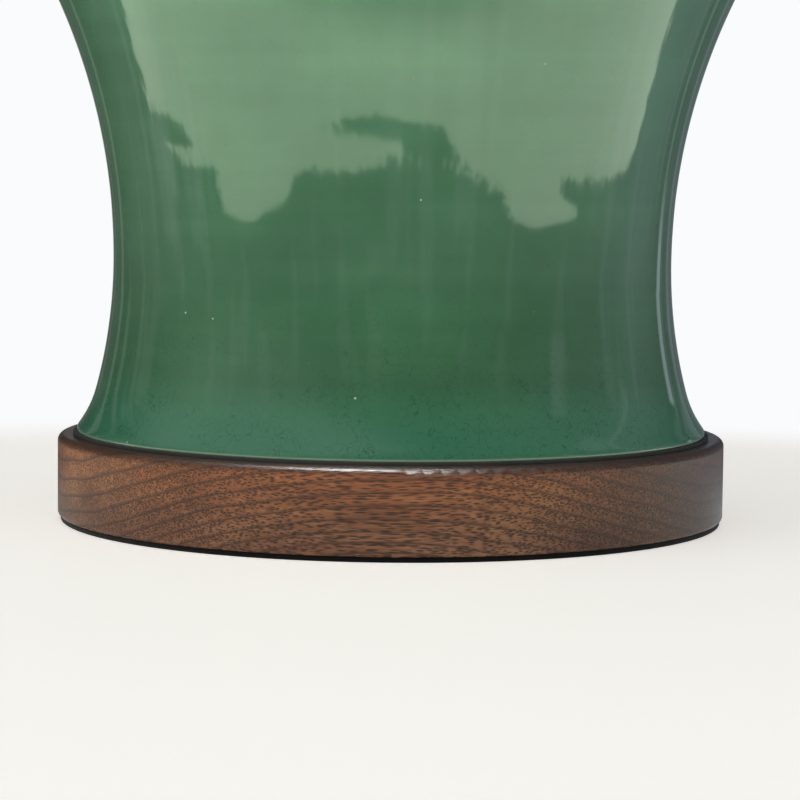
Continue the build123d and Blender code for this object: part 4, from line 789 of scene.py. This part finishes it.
def linenMaterial(name, thread, dark, light, slub):
    # plain weave of uneven flax: each thread has its own tone and thick slubs, over and under its neighbours
    # in a checkerboard, laid out on the cloth's own flat coordinates
    material, tree, place = newMaterial(name)
    cloth = add(tree, "UVMap", uv_map="UVMap")
    grid = add(tree, "Mapping", {0: cloth, 3: (1 / thread, 1 / thread, 1.0)})
    warpVector = add(tree, "Mapping", {0: grid, 3: (1.0, 0.045, 1.0)})
    weftVector = add(tree, "Mapping", {0: grid, 3: (0.045, 1.0, 1.0)})
    warpTone = add(tree, "TexNoise", {"Vector": warpVector, "Scale": 0.9, "Detail": 2.0})
    weftTone = add(tree, "TexNoise", {"Vector": weftVector, "Scale": 0.9, "Detail": 2.0})
    parts = add(tree, "SeparateXYZ", {0: grid}).outputs
    heights = []
    for axis in ("X", "Y"):
        # one thread's round back: the sine of its width
        turn = add(tree, "Math", {0: parts[axis], 1: math.pi}, operation="MULTIPLY")
        wave = add(tree, "Math", {0: turn}, operation="SINE")
        heights.append(add(tree, "Math", {0: wave}, operation="ABSOLUTE"))
    steps = [add(tree, "Math", {0: parts[axis]}, operation="FLOOR") for axis in ("X", "Y")]
    both = add(tree, "Math", {0: steps[0], 1: steps[1]}, operation="ADD")
    over = add(tree, "Math", {0: both, 1: 2.0}, operation="FLOORED_MODULO")
    height = add(tree, "Mix", {0: over, 2: heights[0], 3: heights[1]})
    tone = add(tree, "Mix", {0: over, 2: warpTone, 3: weftTone})
    level = add(tree, "MapRange", {0: tone, 1: 0.5 - slub, 2: 0.5 + slub})
    flax = add(tree, "Mix", {0: level, 6: dark, 7: light}, data_type="RGBA")
    # painted shade: darker where the threads dip into the gaps between them
    gapShade = add(tree, "MapRange", {0: height, 1: 0.0, 2: 0.45, 3: 0.45, 4: 0.0})
    shaded = add(tree, "Mix", {0: gapShade, 6: flax.outputs[2], 7: "#7D705A"}, data_type="RGBA")
    relief = add(tree, "Math", {0: tone, 1: 1.4, 2: height}, operation="MULTIPLY_ADD")
    bump = add(tree, "Bump", {"Height": relief, "Strength": 0.5, "Distance": 0.00018})
    finishWith(tree, {"Base Color": shaded.outputs[2], "Roughness": 0.88, "Sheen Weight": 0.12,
                      "Specular IOR Level": 0.3, "Normal": bump})
    return material


def buildShadeLinen():
    # a cone's frustum of constant thickness; at the back one end laps over the other and makes a low step
    low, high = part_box("shade_linen")
    topRadius = shade["topRadius"]
    rows = math.ceil((high.z - low.z) / shade["rowStep"]) + 1
    up = np.linspace(0, 1, rows)
    outside = np.stack([high.x + (topRadius - high.x) * up, low.z + (high.z - low.z) * up], -1)
    inside = outside[::-1] - [shade["thickness"], 0]
    profile = np.concatenate([outside, inside])
    isOutside = np.arange(2 * rows)[:, None] < rows
    seam = math.pi / 2
    lapAngle = shade["lap"] / high.x

    def lapAndWave(r, z, a):
        # full thickness over the lap, a crisp end on one side, and a ramp over the other end on the other
        fromSeam = a - seam
        lap = np.clip((fromSeam + lapAngle) / (0.35 * lapAngle), 0, 1) * (fromSeam < 0)
        wave = np.sin(5 * a + 11 * z) + np.sin(9 * a - 7 * z + 1)
        return r + isOutside * shade["lapThickness"] * lap + shade["wave"] * wave / 2 * (z > low.z + 15 * mm), z

    angles = anglesWith(shade["columns"], (seam, seam - 0.65 * lapAngle, seam - lapAngle), 0.6 * mm / high.x)
    meanRadius = (high.x + topRadius) / 2
    cloth = linenMaterial("plain-woven natural linen", shade["thread"], "#B9AC93", "#E0D6C2", 0.20)
    piece = meshPiece("shade_linen_cloth", latheGrid(profile, angles, lapAndWave), latheQuads(len(profile), len(angles)),
                      cloth, "shade", ["shade_linen"], latheUvs(profile, angles, meanRadius))
    # the flat cut is a ring's sector: its radii are slant lengths, and its angle spans the bottom's circumference
    slant = math.hypot(high.z - low.z, high.x - topRadius)
    outerCut = high.x * slant / (high.x - topRadius)
    innerCut = outerCut - slant
    halfAngle = (math.pi * high.x + shade["lap"] / 2) / outerCut
    flat = (2 * outerCut * math.sin(halfAngle), outerCut - innerCut * math.cos(halfAngle))
    return piece, flat, halfAngle * (outerCut ** 2 - innerCut ** 2)


def buildTape(name, node, up, slots):
    # the CAD's folded outline with its corners rounded; its raw edge outside wanders a little, and the top
    # one's return has a slot at each arm
    low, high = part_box(node)
    linenLow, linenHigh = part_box("shade_linen")
    topRadius = shade["topRadius"]
    slope = (linenHigh.x - topRadius) / (linenHigh.z - linenLow.z)
    edgeZ = linenLow.z if up > 0 else linenHigh.z
    edgeRadius = linenHigh.x if up > 0 else topRadius
    outerFold = edgeRadius + shade["layerGap"]
    outerEnd = outerFold - up * slope * shade["tapeHeight"]
    innerFold = edgeRadius - shade["tapeInward"]
    foldZ = edgeZ - up * shade["layerGap"]
    thick = shade["tapeThickness"]
    endZ = edgeZ + up * shade["tapeHeight"]
    returnZ = edgeZ + up * shade["tapeReturn"]
    corners = [(outerFold, foldZ), (outerEnd, endZ), (outerEnd + thick, endZ), (outerFold + thick, foldZ - up * thick),
               (innerFold - thick, foldZ - up * thick), (innerFold - thick, returnZ), (innerFold, returnZ),
               (innerFold, foldZ)]
    profile = roundCorners(corners, shade["tapeRound"])
    if up < 0:
        profile = profile[::-1]
    slotAngle = shade["slotHalf"] / innerFold

    def wanderAndSlots(r, z, a):
        # the cut edges wander, and inside a slot the return is drawn back up to its fold
        ripple = (np.sin(23 * a) + np.sin(41 * a + 2) + np.sin(67 * a + 1)) / 3
        raw = np.abs(z - edgeZ) > 0.8 * shade["tapeHeight"]
        z = z + raw * ripple * shade["tapeWander"]
        turned = np.abs(np.angle(np.exp(1j * (a - np.array(slots)[:, None])))).min(0)[None, :] if slots else 9 + 0 * a
        drawn = (turned < slotAngle) & (r < innerFold + 0.2 * mm) & (np.abs(z - foldZ) > 0.3 * mm)
        return r, np.where(drawn, foldZ + up * 0.25 * mm, z)

    edges = [slot + side * slotAngle for slot in slots for side in (-1, 1)]
    angles = anglesWith(shade["columns"], edges, 0.1 * mm / innerFold)
    uvs = latheUvs(profile, angles, outerFold)
    tape = linenMaterial(name.replace("_", " ") + " of folded linen tape", 0.55 * mm, "#A89A80", "#CFC3AB", 0.25)
    return meshPiece(name, latheGrid(profile, angles, wanderAndSlots), latheQuads(len(profile), len(angles)), tape,
                     "shade", [node], uvs)


linen, flatSize, flatArea = buildShadeLinen()
armAngles = [math.radians(90 + 120 * arm) for arm in range(3)]
tapes = [buildTape("top_tape", "shade_top_trim", -1, armAngles), buildTape("bottom_tape", "shade_bottom_trim", 1, [])]
print("felt, linen and tapes made")
